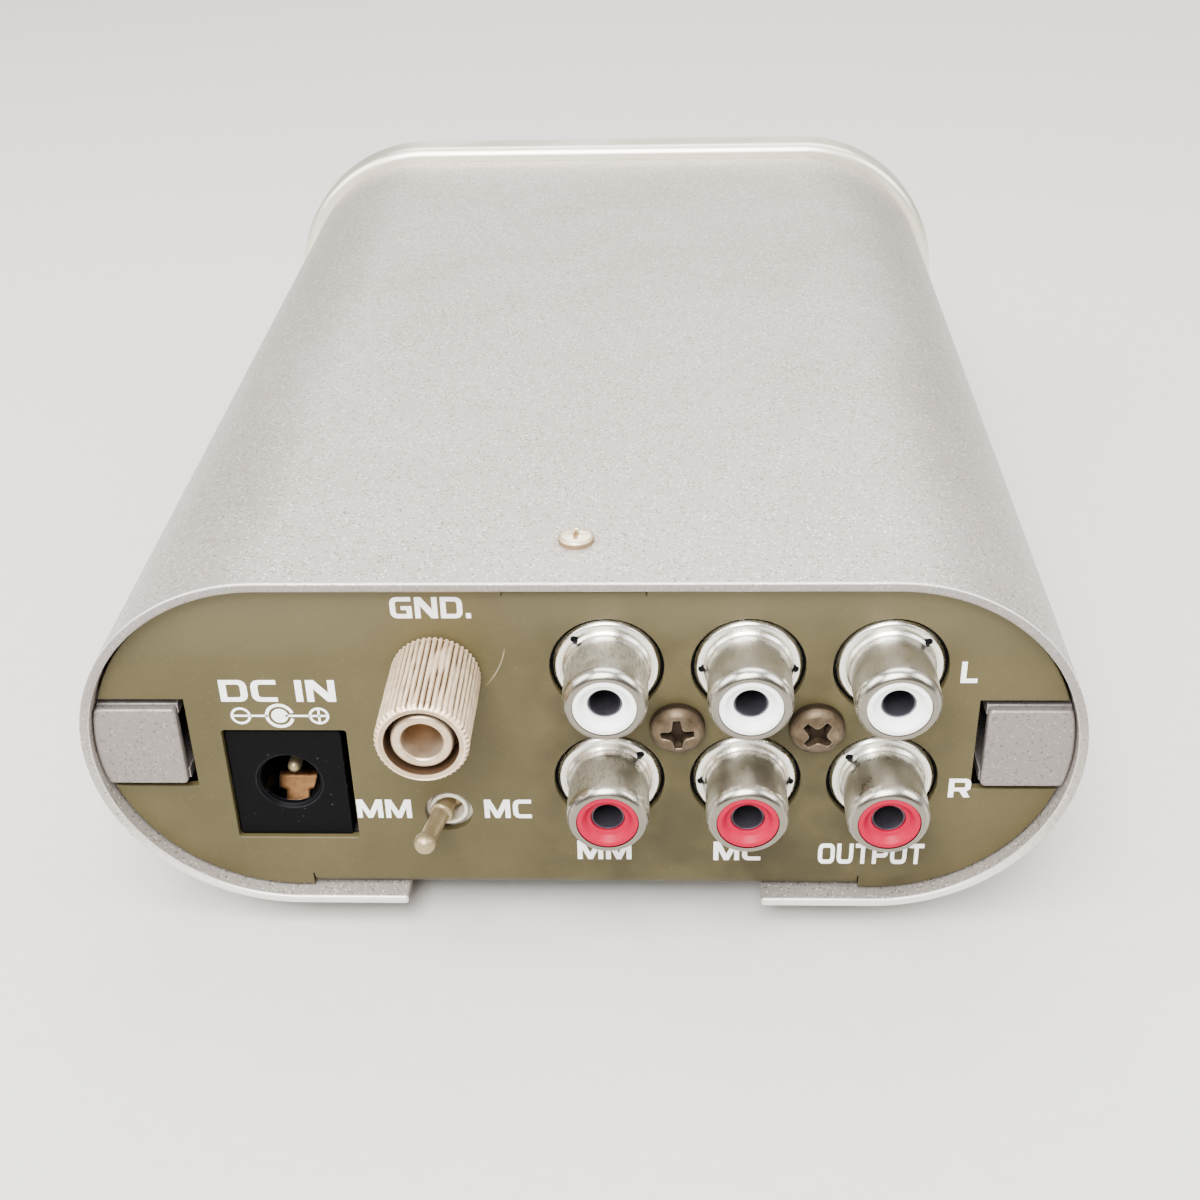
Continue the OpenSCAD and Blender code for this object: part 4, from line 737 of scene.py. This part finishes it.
# %% Folding
SHEET, BEND, TAB_BEND, Z_FLOOR, Z_TAB = 1.0, 1.8, 1.1, 4.5, 42.8
FLOOR_HALF, FLOOR_SLOT, TAB_HALF, TAB_SLOT, SLACK = 29.3, 0.1, 7.0, 0.05, 0.01
V_LOW, V_HIGH = Z_FLOOR + BEND - Z_MIDDLE, Z_TAB - TAB_BEND - Z_MIDDLE   # where the bends start
TURN, TAB_TURN = BEND * np.pi / 2, TAB_BEND * np.pi / 2                  # sheet used by one bend
FLOOR_LEN, FLANGE_LEN, TAB_LEN = Y_FRONT - SPIGOT - Y_PANEL - 2 * BEND, 26.2, 11.9


def floor_v(y):
    """Where a place on the floor lies on the blank."""
    return V_LOW - TURN - (y - Y_PANEL - BEND)


def flange_v(z):
    """Where a height on the flange lies on the blank."""
    return V_LOW - 2 * TURN - FLOOR_LEN - (z - Z_FLOOR - BEND)


def fold(points):
    """Folds the blank. Past the start of a bend the distance along the sheet becomes an angle, distance /
    radius, and past its end the sheet runs straight on. Depth shortens the radius."""
    u, v, d = points.T
    r = BEND - d
    past = np.maximum(V_LOW - v, 0) * (np.abs(u) < FLOOR_HALF + SLACK)
    first, second = (np.clip((past - s) / BEND, 0, np.pi / 2) for s in (0, TURN + FLOOR_LEN))
    y = Y_PANEL + BEND - r * np.cos(first) + np.clip(past - TURN, 0, FLOOR_LEN) + r * np.sin(second)
    z = np.where(past > 0, Z_FLOOR + BEND - r * np.sin(first) + r * (1 - np.cos(second))
                 + np.maximum(past - 2 * TURN - FLOOR_LEN, 0), Z_MIDDLE + v)
    over, r = np.maximum(v - V_HIGH, 0) * (np.abs(u) < TAB_HALF + SLACK), TAB_BEND - d
    bent = np.clip(over / TAB_BEND, 0, np.pi / 2)
    y = np.where(over > 0, Y_PANEL + TAB_BEND - r * np.cos(bent) + np.maximum(over - TAB_TURN, 0), y)
    z = np.where(over > 0, Z_TAB - TAB_BEND + r * np.sin(bent), z)
    return np.column_stack([u, y, z])


print("the blank is", round(V_HIGH + TAB_TURN + TAB_LEN - flange_v(Z_FLOOR + BEND) + FLANGE_LEN), "mm long")

# %% The blank, its holes and the folded tray
PANEL_R, NOTCH_X, NOTCH_H = INSIDE - 0.3, 40.1, 5.55
STANDOFFS, PLATE_SCREW_X = [(21.0, -36.85), (21.0, 45.15)], 19.53
JACK_HOLE, POST_HOLE, BUSHING_HOLE, LIGHT_HOLE = 5.7, 3.1, 2.5, 1.6     # radii
bend_steps = np.linspace(0, TURN, 9)
low_v = np.concatenate([[flange_v(Z_FLOOR + BEND) - FLANGE_LEN],
                        (V_LOW - TURN - FLOOR_LEN - bend_steps)[::-1], (V_LOW - bend_steps)[::-1]])
high_v = V_HIGH + np.append(np.linspace(0, TAB_TURN, 9), TAB_TURN + TAB_LEN)
side_arc = arc(FLAT, 0, PANEL_R, np.linspace(-np.pi / 2, -math.asin(NOTCH_H / PANEL_R), 40))
right_side = np.vstack([
    np.column_stack([np.full(len(low_v), FLOOR_HALF), low_v]),
    [(FLOOR_HALF + FLOOR_SLOT, V_LOW), (FLOOR_HALF + FLOOR_SLOT, -PANEL_R)], side_arc,
    [(NOTCH_X, -NOTCH_H), (NOTCH_X, NOTCH_H)], side_arc[::-1] * (1, -1),
    [(TAB_HALF + TAB_SLOT, PANEL_R), (TAB_HALF + TAB_SLOT, V_HIGH)],
    np.column_stack([np.full(len(high_v), TAB_HALF), high_v])])
blank = np.vstack([right_side, right_side[::-1] * (-1, 1)])
folded = [*range(1, len(low_v)), *range(len(right_side) - len(high_v), len(right_side) - 1)]
bends = [(i, len(blank) - 1 - i) for i in folded]
holes = [circle(JACK_HOLE, x, z - Z_MIDDLE) for x, z in JACKS]
holes += [circle(M3_HOLE, x, SCREW_Z - Z_MIDDLE, 32) for x in SCREW_X]
holes += [circle(r, x, z - Z_MIDDLE) for r, (x, z) in ((POST_HOLE, TERMINAL), (BUSHING_HOLE, TOGGLE))]
holes += [oblong(12.9, 14.15, 0.35, -30.3, 18.425 - Z_MIDDLE),     # the supply socket's cut-out
          circle(TOP_HOLE, 0, V_HIGH + TAB_TURN + 5.4, 32)]
holes += [circle(M3_HOLE, side * x, floor_v(y), 32) for side in (-1, 1)
          for x, y in [(FOOT_X, y) for y in FOOT_Y] + STANDOFFS]
holes += [circle(LIGHT_HOLE, 0, flange_v(Z_MIDDLE), 32)]
holes += [circle(M3_HOLE, side * PLATE_SCREW_X, flange_v(Z_MIDDLE), 32) for side in (-1, 1)]
points, faces = sheet_part([blank, *holes], SHEET, edge=0.14, creases=bends)
hand_over(make_solid("rear_tray", (fold(points), faces)), olive_paint, "tray_plate", "chassis_tray")

# %% [markdown]
# ## The side rails
# Folded channels that hold the case together. Only their closed ends show, in the notches of the panel.

# %% Side rails
RAIL_X, RAIL_H, RAIL_T, RAIL_Y, RAIL_R = 40.9, 4.75, 1.2, -62.85, INSIDE - 0.15


def rail_arc(height, radius, way=1):
    """The arc between two levels about the sleeve's side, upwards or downwards."""
    return arc(FLAT, 0, radius, np.linspace(-1, 1, 17) * math.asin(height / radius) * way)


half_angle = math.asin(RAIL_H / RAIL_R)
outer = rounded([(RAIL_X, -RAIL_H), *arc(FLAT, 0, RAIL_R, np.linspace(-half_angle, half_angle, 9)),
                 (RAIL_X, RAIL_H)], [0.55, 0.55, *[0] * 7, 0.55, 0.55])
channel = np.vstack([[(RAIL_X, -RAIL_H)], rail_arc(RAIL_H, RAIL_R),
                     [(RAIL_X, RAIL_H), (RAIL_X, RAIL_H - RAIL_T)],
                     rail_arc(RAIL_H - RAIL_T, RAIL_R - RAIL_T, -1), [(RAIL_X, RAIL_T - RAIL_H)]])
for side, name in ((1, "right"), (-1, "left")):
    end = into_panel(sheet_part([outer * (side, 1)], RAIL_T, edge=0.35, steps=6), start=RAIL_Y - Y_PANEL)
    rest = into_panel(sheet_part([channel * (side, 1)], Y_FRONT - SPIGOT - RAIL_Y - RAIL_T, edge=0.1),
                      start=RAIL_Y - Y_PANEL + RAIL_T)
    hand_over(make_solid("rail_" + name, end, rest), rail_paint_in_painted_shade, "case_paint", "side_rail_" + name)

# %% [markdown]
# ## Screws with a cross recess
# The top of a pan head is a low dome, so its flat triangulation is lifted by a parabola. The recess is
# the cross outline carried down while it shrinks, and a small floor closes it.

# %% Cross-head screws
def cross_screw(head_r, head_h, thread_r, length, slot, arm, deep, dome=0.3, round_edge=0.5):
    """A pan-head screw along its own axis, its head's seat at 0. Lift of the top: h - dome (r / R)^2."""
    w, tip = slot / 2, slot * 0.36
    cross = rounded([(w, -w), (arm, -tip), (arm, tip), (w, w), (tip, arm), (-tip, arm), (-w, w), (-arm, tip),
                     (-arm, -tip), (-w, -w), (-tip, -arm), (tip, -arm)],
                    np.tile([0.42, 0.16, 0.16], 4) * slot, steps=5)
    rim_r = head_r - round_edge

    def lift(flat, down=0.0):
        """Puts flat points on the dome, or down into the recess."""
        r2 = (flat ** 2).sum(1) / head_r ** 2
        return np.column_stack([flat, head_h - dome * r2 - down])

    side = rounded([(0, -length), (thread_r, -length), (thread_r, 0), (head_r, 0),
                    (head_r, head_h - dome * 0.7 - round_edge * 0.8),
                    (rim_r, head_h - dome * (rim_r / head_r) ** 2), (0, head_h * 2)],
                   [0, 0.1, 0.05, 0.1, round_edge * 0.5, 0, 0])[:-1]
    loose = [circle(r, count=48) for r in np.linspace(arm * 1.04, rim_r * 0.95, 4)]
    top, triangles = patch([circle(rim_r), cross], loose=loose)
    rings = inset_rings(cross, np.array([0, 0.05, 0.09, 0.26]) * slot)
    walls = np.vstack([lift(ring, down) for ring, down in zip(rings, np.array([0, 0.06, 0.3, 1]) * deep)])
    bottom, bottom_triangles = patch([rings[-1]])
    return join(turned(side), (lift(top), [triangles]), (walls, [grid_faces(len(rings), len(cross))]),
                (lift(bottom, deep), [bottom_triangles]))


pair = [on_panel(cross_screw(2.8, 1.98, 1.45, 7.7, 1.15, 1.75, 1.15, dome=0.75, round_edge=0.65),
                 x, SCREW_Z, turn=t) for x, t in zip(SCREW_X, (0.06, 0.84))]
hand_over(make_solid("block_screws", *pair), tarnished, "worn_steel", "panel_screws")
top_screw = standing(cross_screw(1.8, 0.88, 0.95, 3.8, 0.55, 1.1, 0.55, dome=0.25, round_edge=0.3),
                     0, TOP_SCREW_Y, Z_MIDDLE + ROUND)
hand_over(make_solid("top_screw", top_screw), yellow_screw, "champagne_metal", "sleeve_screw")

# %% [markdown]
# ## Phono jacks
# Each jack is a nickel-plated barrel on a stepped flange, with a moulded insulator in it whose face is
# dished towards the hole for the plug's pin. All of it is turned: one profile, one axis. Pegs of the
# moulded block stick into small pits of the flanges, so that the shells can't turn, and the spring contact
# for the plug's pin is a tube coloured dark as painted shade, which makes the hole look black.

# %% Jack barrels
BARREL, BORE, NOSE, NOSE_R, LENGTH = 4.15, 3.15, 5.7, 3.3, 7.0     # radii, and heights over the panel
PIT_RING, PIT_R, PEG_R = 4.58, 0.4, 0.39
PIT_ANGLES = {(0, 1): (133,), (0, 0): (45,), (1, 1): (182, 358), (1, 0): (182, 358), (2, 1): (42,),
              (2, 0): (140,)}     # degrees, by the jack's column and row
nose = arc(NOSE_R, NOSE, (BARREL - NOSE_R, LENGTH - NOSE), np.linspace(0, np.pi / 2, 12))
lower = rounded([(BORE, -1), (5.35, -1), (5.35, -0.5), (5.05, -0.12), (4.66, -0.02), (4.6, -0.22),
                 (4.5, -0.22), (4.42, 0.12), (BARREL, 0.4), (BARREL, 3), (BORE, 3)],
                [0.05, 0.05, 0.25, 0.2, 0.06, 0.03, 0.03, 0.1, 0.2, 0, 0])[:-2]
shell = np.vstack([lower, nose, [(BORE, LENGTH)]])
shells = make_solid("jack_barrels", *[on_panel(turned(shell, 128, closed=True), x, z) for x, z in JACKS])
pits = [(JACK_X[i] + PIT_RING * math.cos(math.radians(a)), JACK_Z[j] + PIT_RING * math.sin(math.radians(a)))
        for (i, j), angles in PIT_ANGLES.items() for a in angles]
drill(shells, *[on_panel(rod(PIT_R, -1.3, 0.6, 24), x, z) for x, z in pits])
hand_over(shells, barrel_nickel, "nickel", "rca_shells")
pegs = make_solid("jack_pegs", *[on_panel(rod(PEG_R, -1, -0.12, 24), x, z) for x, z in pits])
hand_over(pegs, black_plastic, "black_plastic")

# %% Contact tubes and insulators
contact_tube = rounded([(1.5, -1), (1.69, -1), (1.69, 5.85), (1.5, 5.95)], [0.02, 0.02, 0.05, 0.05], steps=3)
tubes = make_solid("jack_contact_tubes",
                   *[on_panel(turned(contact_tube, 64, closed=True), x, z) for x, z in JACKS])
hand_over(tubes, tube_metal_in_painted_shade, "dark_metal")
dish = rounded([(1.7, -1), (3.1, -1), (3.1, 6.96), (2.6, 6.96), (2.1, 6.3), (1.7, 6.15)],
               [0.05, 0.05, 0.12, 0.2, 0.25, 0.08])
for name, finish, z in (("white", white_plastic, JACK_Z[1]), ("red", red_plastic, JACK_Z[0])):
    row = make_solid("jack_insulators_" + name, *[on_panel(turned(dish, closed=True), x, z) for x in JACK_X])
    hand_over(row, finish, name + "_plastic", "rca_insulators_" + name)

# %% [markdown]
# ## Ground terminal
# A hollow post with a loose washer and a knurled nut. The nut's ridges are a ripple of its radius round
# the axis, 1 - |sin|, which gives broad crests and narrow grooves. Fingers and pliers have worn them
# unevenly, so slow waves lower the crests and fill the grooves here and there.

# %% Ground terminal
NUT_R, RIDGES, GROOVE, SIDE_R = 4.525, 48, 0.32, 4.15
side_h = np.linspace(0.6, 11.1, 32)
outline = rounded([(3.9, 0.1), (4.25, 0.1), (NUT_R, 0.35), *[(NUT_R, h) for h in side_h], (NUT_R, 11.5),
                   (4.12, 11.98), (4.0, 11.88), (3.55, 11.8), (3.5, 9.1), (3.05, 9.1), (3.05, 1.6),
                   (3.9, 1.6)], [0.05, 0.08, 0.08, *[0] * len(side_h), 0.08, 0.05, 0.08, 0.1, 0.1,
                                 0.05, 0.05, 0.05], steps=4)
around = np.arange(RIDGES * 10) * 2 * np.pi / (RIDGES * 10)
r, h = outline[:, :1], outline[:, 1:]
on_side = np.clip((r - SIDE_R) / 0.15, 0, 1)
ripple = 1 - np.abs(np.sin(around * RIDGES / 2))
waves = sum(np.sin(n * around + k * h + s) for n, k, s in
            ((5, 0.3, 0.4), (11, -0.5, 2.0), (23, 0.25, 4.1), (37, 0.7, 1.3), (48, -0.9, 5.2))) / 5
groove_depth = GROOVE * (1 - 0.5 * np.clip(waves, -1, 1) ** 2) * (1 - 0.55 * np.clip(waves * 2, 0, 1))
crest_wear = 0.05 * np.clip(waves * 2, 0, 1)
lowered = on_side * np.maximum(ripple * groove_depth, crest_wear)
nut = make_solid("terminal_nut", on_panel(turned(outline, len(around), lowered, closed=True), *TERMINAL))

points = np.empty(len(nut.data.vertices) * 3)
nut.data.vertices.foreach_get("co", points)
x, y, z = points.reshape(-1, 3).T / MM
from_axis, out = np.hypot(x - TERMINAL[0], z - TERMINAL[1]), Y_PANEL - y
sunk = np.clip((NUT_R - 0.02 - from_axis) / GROOVE, 0, 1) * (out > 0.4) * (out < 11.55)
tarnish = np.where(from_axis < 3.6, 1.0, np.where((out > 11.6) & (from_axis < 4.05), 0.36, sunk))
nut.data.attributes.new("tarnish", "FLOAT", "POINT").data.foreach_set("value", tarnish)
hand_over(nut, knurled, "champagne_metal", "ground_nut", body="ground_nut", sharp=50)

post = rounded([(0, -7), (3, -7), (3, -0.01), (3.6, 0), (3.6, 0.8), (3, 0.8), (3, 11.5), (2, 11.5), (2, 4),
                (0, 4)], [0, 0.2, 0, 0.1, 0.1, 0.05, 0.38, 0.34, 0.3, 0], steps=7)
terminal_post = make_solid("terminal_post", on_panel(turned(post), *TERMINAL))
drill(terminal_post, standing(rod(0.9, -4, 4, 48), TERMINAL[0], Y_PANEL - 2.6, TERMINAL[1]))
hand_over(terminal_post, nut_metal, "champagne_metal", "ground_post")

# %% [markdown]
# ## Toggle switch
# The bushing's lip and the lever are turned parts too. The lever is turned about its own axis, with its
# ball at the pivot, and then tipped to the side it rests on.

# %% Toggle switch
TILT, PIVOT, BALL = math.radians(13), -3.2, 1.55
lip = rounded([(1.56, -0.4), (2.05, -0.4), (2.05, -4.4), (1.6, -4.4), (1.6, -2.3), (1.35, -2.3),
               (1.35, -1.8)], [0.2, 0.24, 0.1, 0.05, 0.05, 0.05, 0.1], steps=8)
behind = sheet_part([oblong(8.4, 7.1, 0.4), circle(1.95)], 0.6)
bushing = make_solid("toggle_lip", on_panel(turned(lip, closed=True), *TOGGLE),
                     into_panel(behind, *TOGGLE, start=1.2))
hand_over(bushing, satin_nickel, "nickel", "toggle_bushing")

q = np.linspace(-0.98, 0.98, 24)
ball = np.column_stack([BALL * np.cos(np.arcsin(q)), BALL * q])
neck = np.array([(0.86, 1.45), (0.92, 1.8), (0.95, 2.1), (0.95, 3.1), (1.1, 3.19), (1.2, 3.3), (1.24, 3.44),
                 (1.22, 3.58), (1.12, 3.7), (0.98, 3.78), (0.9, 3.95), (0.89, 7.6)])
lever = np.vstack([arc(0, -3.2, 0.6, np.linspace(-np.pi / 2, 0, 8)),
                   ball[(ball[:, 1] > -1.42) & (ball[:, 1] < 1.3)], neck,
                   arc(0, 8.46, 1.14, np.linspace(-0.66, np.pi / 2, 16))])
lever_points, lever_faces = turned(lever, 64)
a, b, h = lever_points.T
swung = np.column_stack([a * math.cos(TILT) - h * math.sin(TILT), b,
                         PIVOT + h * math.cos(TILT) + a * math.sin(TILT)])
pin_points, pin_faces = rod(0.4, -2, 2, 24)
pin = pin_points[:, [0, 2, 1]] + (0, 0, PIVOT)
stick = make_solid("toggle_stick", on_panel((swung, lever_faces), *TOGGLE),
                   on_panel((pin, pin_faces), *TOGGLE))
hand_over(stick, lever_metal, "nickel", "toggle_lever", body="toggle_lever")

# %% [markdown]
# ## Supply socket
# A moulded block behind a cut-out of the panel, with a round opening, a centre pin with a round tip and
# a spring leaf that rises out of a slot. The leaf is a strip carried along its bent path; its width
# changes along the way, with rounded shoulders where the tongue begins.

# %% Socket body and pin
SOCKET_BACK, SOCKET_Z, LEAF_X, LEAF_T, OPENING, PIN_TIP = 0.5, 18.2, -31.1, 0.3, 3.2, 0.72
block = into_panel(sheet_part([oblong(12.1, 13.6, 0.35)], 14.0, edge=0.2, steps=5), SUPPLY[0], SOCKET_Z,
                   start=SOCKET_BACK)
socket = make_solid("supply_socket_body", block)
bore = np.array([(0, -10), (OPENING, -10), (OPENING, -0.35), (3.5, -0.05), (3.5, 0.5), (0, 0.5)])
slot_cut = into_panel(sheet_part([oblong(4.7, 6.6, 0.2)], 8.2, edge=0.02), LEAF_X, 15.2,
                      start=SOCKET_BACK + 0.9)
drill(socket, slot_cut)
drill(socket, on_panel(turned(bore), *SUPPLY, out=-SOCKET_BACK))
hand_over(socket, black_plastic, "black_plastic", "dc_jack_body")

pin = np.vstack([[(0, -14.9), (1, -14.9), (1, -6.4), (0.95, -6.1), (0.76, -5.5), (PIN_TIP, -5.2)],
                 arc(0, -3.25, PIN_TIP, np.linspace(0, np.pi / 2, 12))])
tail = into_panel(sheet_part([oblong(1.0, 9.9, 0.1)], 0.4, edge=0.05), SUPPLY[0], 13.55, start=14.5)
socket_pin = make_solid("supply_socket_pin", on_panel(turned(pin, 48), *SUPPLY), tail)
hand_over(socket_pin, lever_metal, "nickel", "dc_jack_pin")

# %% Spring leaf
path = rounded([(-57.7, 12.9), (-56.0, 15.5), (-52.8, 13.2), (-52.8, 8.6)], [0, 0.6, 0.7, 0], steps=10)
length = np.concatenate([[0], np.cumsum(np.linalg.norm(np.diff(path, axis=0), axis=1))])
s = np.linspace(0, length[-1], 120)
line = np.column_stack([np.interp(s, length, path[:, k]) for k in (0, 1)])
along = np.gradient(line, s, axis=0)
along /= np.linalg.norm(along, axis=1, keepdims=True)
normal = np.column_stack([-along[:, 1], along[:, 0]])
shoulders = np.clip((s[:, None] - np.array([1.0, length[-1] - 4.2])) / (0.45, 0.5), 0, 1)
ease = shoulders ** 2 * (3 - 2 * shoulders)
width = 2.5 + 1.6 * ease[:, 0] - 2.7 * ease[:, 1]
section = oblong(1.0, 1.0, 0.25)
across = section[:, 0] * width[:, None] + (LEAF_X - SUPPLY[0]) * (1 - ease[:, 1:])
leaf = np.stack([SUPPLY[0] + across, line[:, :1] + normal[:, :1] * section[:, 1] * LEAF_T,
                 line[:, 1:] + normal[:, 1:] * section[:, 1] * LEAF_T], -1).reshape(-1, 3)
caps = np.arange(len(section))[None] + np.array([[0], [len(leaf) - len(section)]])
socket_leaf = make_solid("supply_socket_leaf", (leaf, [grid_faces(len(s), len(section)), caps]))
hand_over(socket_leaf, bronze, "bronze", "dc_jack_leaf")

# %% [markdown]
# ## Feet
# Moulded rubber cups, each with its screw sunk inside. A cup is a turned ring.

# %% Feet
cup = rounded([(3.1, 0), (4.3, 0), (4.75, 0.5), (5, 3.5), (M3_HOLE, 3.5), (M3_HOLE, 2.3), (3.1, 2.3)],
              [0.2, 0.25, 0.25, 0.15, 0.05, 0.1, 0.2], steps=5)
feet = make_solid("feet", *[standing(turned(cup, closed=True), x, y, 0) for x, y in FEET])
hand_over(feet, rubber, "rubber", "rubber_feet")

# %% [markdown]
# ## Printed legends
# White ink from a printing screen, a few hundredths of a millimetre thick. A bold, wide, squarish alphabet
# is simple to draw as outlines: ten units high, upright strokes 2.6 wide, level ones 2 high, and large
# radii only on the outer corners. Each word is then stretched to the box that it fills on the panel.

# %% The alphabet
UP, BAR, BIG, SMALL, PEN = 2.6, 2.0, 3.0, 1.1, 0.1    # stroke widths upright and level, corner radii
FAR = 10 - BAR


def glyph(width, *loops):
    """A letter's width and its outlines, the first one outside. A corner is (x, z), or (x, z, radius)
    where it is rounder than the pen."""
    return width, [rounded([c[:2] for c in loop], [(*c, PEN)[2] for c in loop], steps=4) for loop in loops]


def hole(width, low, radius=SMALL):
    """The opening inside a closed letter."""
    return [(UP, low), (width - UP, low, radius), (width - UP, FAR, radius), (UP, FAR)]


LETTERS = {
    "C": glyph(9.6, [(9.6, 0), (9.6, BAR), (UP, BAR, SMALL), (UP, FAR, SMALL), (9.6, FAR), (9.6, 10),
                     (0, 10, BIG), (0, 0, BIG)]),
    "D": glyph(10.4, [(0, 0), (10.4, 0, BIG), (10.4, 10, BIG), (0, 10)], hole(10.4, BAR)),
    "G": glyph(10.4, [(10.4, 0), (10.4, 5.7), (5.2, 5.7), (5.2, 3.9), (7.9, 3.9), (7.9, BAR),
                      (UP, BAR, SMALL), (UP, FAR, SMALL), (10.2, FAR), (10.2, 10), (0, 10, BIG),
                      (0, 0, BIG)]),
    "I": glyph(UP, [(0, 0), (UP, 0), (UP, 10), (0, 10)]),
    "L": glyph(8.2, [(0, 0), (8.2, 0), (8.2, BAR), (UP, BAR), (UP, 10), (0, 10)]),
    "M": glyph(13.4, [(0, 0), (UP, 0), (UP, 5.6), (5.5, 0), (7.9, 0), (10.8, 5.6), (10.8, 0), (13.4, 0),
                      (13.4, 10), (10.2, 10), (6.7, 3.4), (3.2, 10), (0, 10)]),
    "N": glyph(10.8, [(0, 0), (UP, 0), (UP, 6.0), (7.7, 0), (10.8, 0), (10.8, 10), (8.2, 10), (8.2, 4.0),
                      (3.1, 10), (0, 10)]),
    "O": glyph(10.8, [(0, 0, BIG), (10.8, 0, BIG), (10.8, 10, BIG), (0, 10, BIG)],
               [(UP, BAR, SMALL), (8.2, BAR, SMALL), (8.2, FAR, SMALL), (UP, FAR, SMALL)]),
    "P": glyph(10.2, [(0, 0), (UP, 0), (UP, 3.2), (10.2, 3.2, 2.4), (10.2, 10, 2.4), (0, 10)],
               hole(10.2, 5.1, 0.8)),
    "R": glyph(10.4, [(0, 0), (UP, 0), (UP, 3.3), (5.3, 3.3), (7.4, 0), (10.4, 0), (8.5, 3.3, 0.3),
                      (10.4, 4.6, 0.8), (10.4, 10, 2.4), (0, 10)], hole(10.4, 5.2, 0.8)),
    "T": glyph(9.6, [(3.5, 0), (6.1, 0), (6.1, FAR), (9.6, FAR), (9.6, 10), (0, 10), (0, FAR), (3.5, FAR)]),
    "U": glyph(10.6, [(0, 10), (0, 0, BIG), (10.6, 0, BIG), (10.6, 10), (8.0, 10), (8.0, BAR, SMALL),
                      (UP, BAR, SMALL), (UP, 10)]),
    ".": glyph(2.4, [(0, 0), (2.4, 0), (2.4, 2.4), (0, 2.4)]),
    " ": (4.0, [])}
print(len(LETTERS), "characters")

# %% Words
INK, INK_OUT, LETTER_GAP = 0.03, 0.01, 1.5
WORDS = [("GND.", -17.96, -10.08, 15.37, 17.80), ("DC IN", -36.15, -24.4, 5.35, 8.0),
         ("MM", -23.73, -17.95, -9.7, -7.25), ("MC", -10.23, -5.28, -9.65, -7.2),
         ("MM", -0.61, 5.14, -15.25, -12.7), ("MC", 13.86, 18.84, -15.3, -12.75),
         ("OUTPUT", 24.94, 36.04, -15.70, -12.94), ("L", 37.85, 39.50, 7.75, 10.26),
         ("R", 37.87, 40.12, -6.64, -4.22)]


def inked(*loops):
    """Outlines on the panel as a film of ink."""
    return into_panel(sheet_part(list(loops), INK, edge=0.004, steps=2), start=INK_OUT - INK)


def printed(word, left, right, low, high):
    """A word that fills a box: each letter starts where the widths before it end."""
    widths = np.array([LETTERS[c][0] + LETTER_GAP for c in word])
    starts = np.concatenate([[0], np.cumsum(widths)])
    scale = ((right - left) / (starts[-1] - LETTER_GAP), (high - low) / 10)
    return [inked(*[(loop + (start, 0)) * scale + (left, low) for loop in LETTERS[c][1]])
            for c, start in zip(word, starts) if LETTERS[c][1]]


words = [letter for word in WORDS for letter in printed(*word)]
print(len(words), "letters are printed")

# %% [markdown]
# ## The polarity sign
# The minus pole is wired to the sleeve of the plug, drawn as an open ring, and the plus pole to its pin.

# %% The polarity sign
MINUS, PLUG, PLUS, SIGN_Z, LINE = -34.40, -30.40, -26.38, 3.58, 0.24
unit_arc = arc(0, 0, 1, np.linspace(math.radians(16), math.radians(344), 60))
open_ring = np.vstack([1.5 * unit_arc, 1.16 * unit_arc[::-1]]) + (PLUG, SIGN_Z)
signs = [inked(open_ring), inked(circle(0.86, PLUG, SIGN_Z, 48))]
for pole in (MINUS, PLUS):
    signs += [inked(circle(1.04, pole, SIGN_Z, 48), circle(0.78, pole, SIGN_Z, 48)),
              inked(oblong(1.6, LINE, 0.02, pole, SIGN_Z))]
for wide, high, x in ((LINE, 1.6, PLUS), (1.9, LINE, -32.55), (2.6, LINE, -28.55)):
    signs.append(inked(oblong(wide, high, 0.02, x, SIGN_Z)))
legends = make_solid("panel_legends", *words, *signs)
hand_over(legends, ink, "white_plastic")

# %% [markdown]
# ## Sizes
# The box round everything that is rendered, the floor left out, is worked out. The
# dressed model has to stay inside the imported one.

# %% Sizes, and the end
low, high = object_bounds()
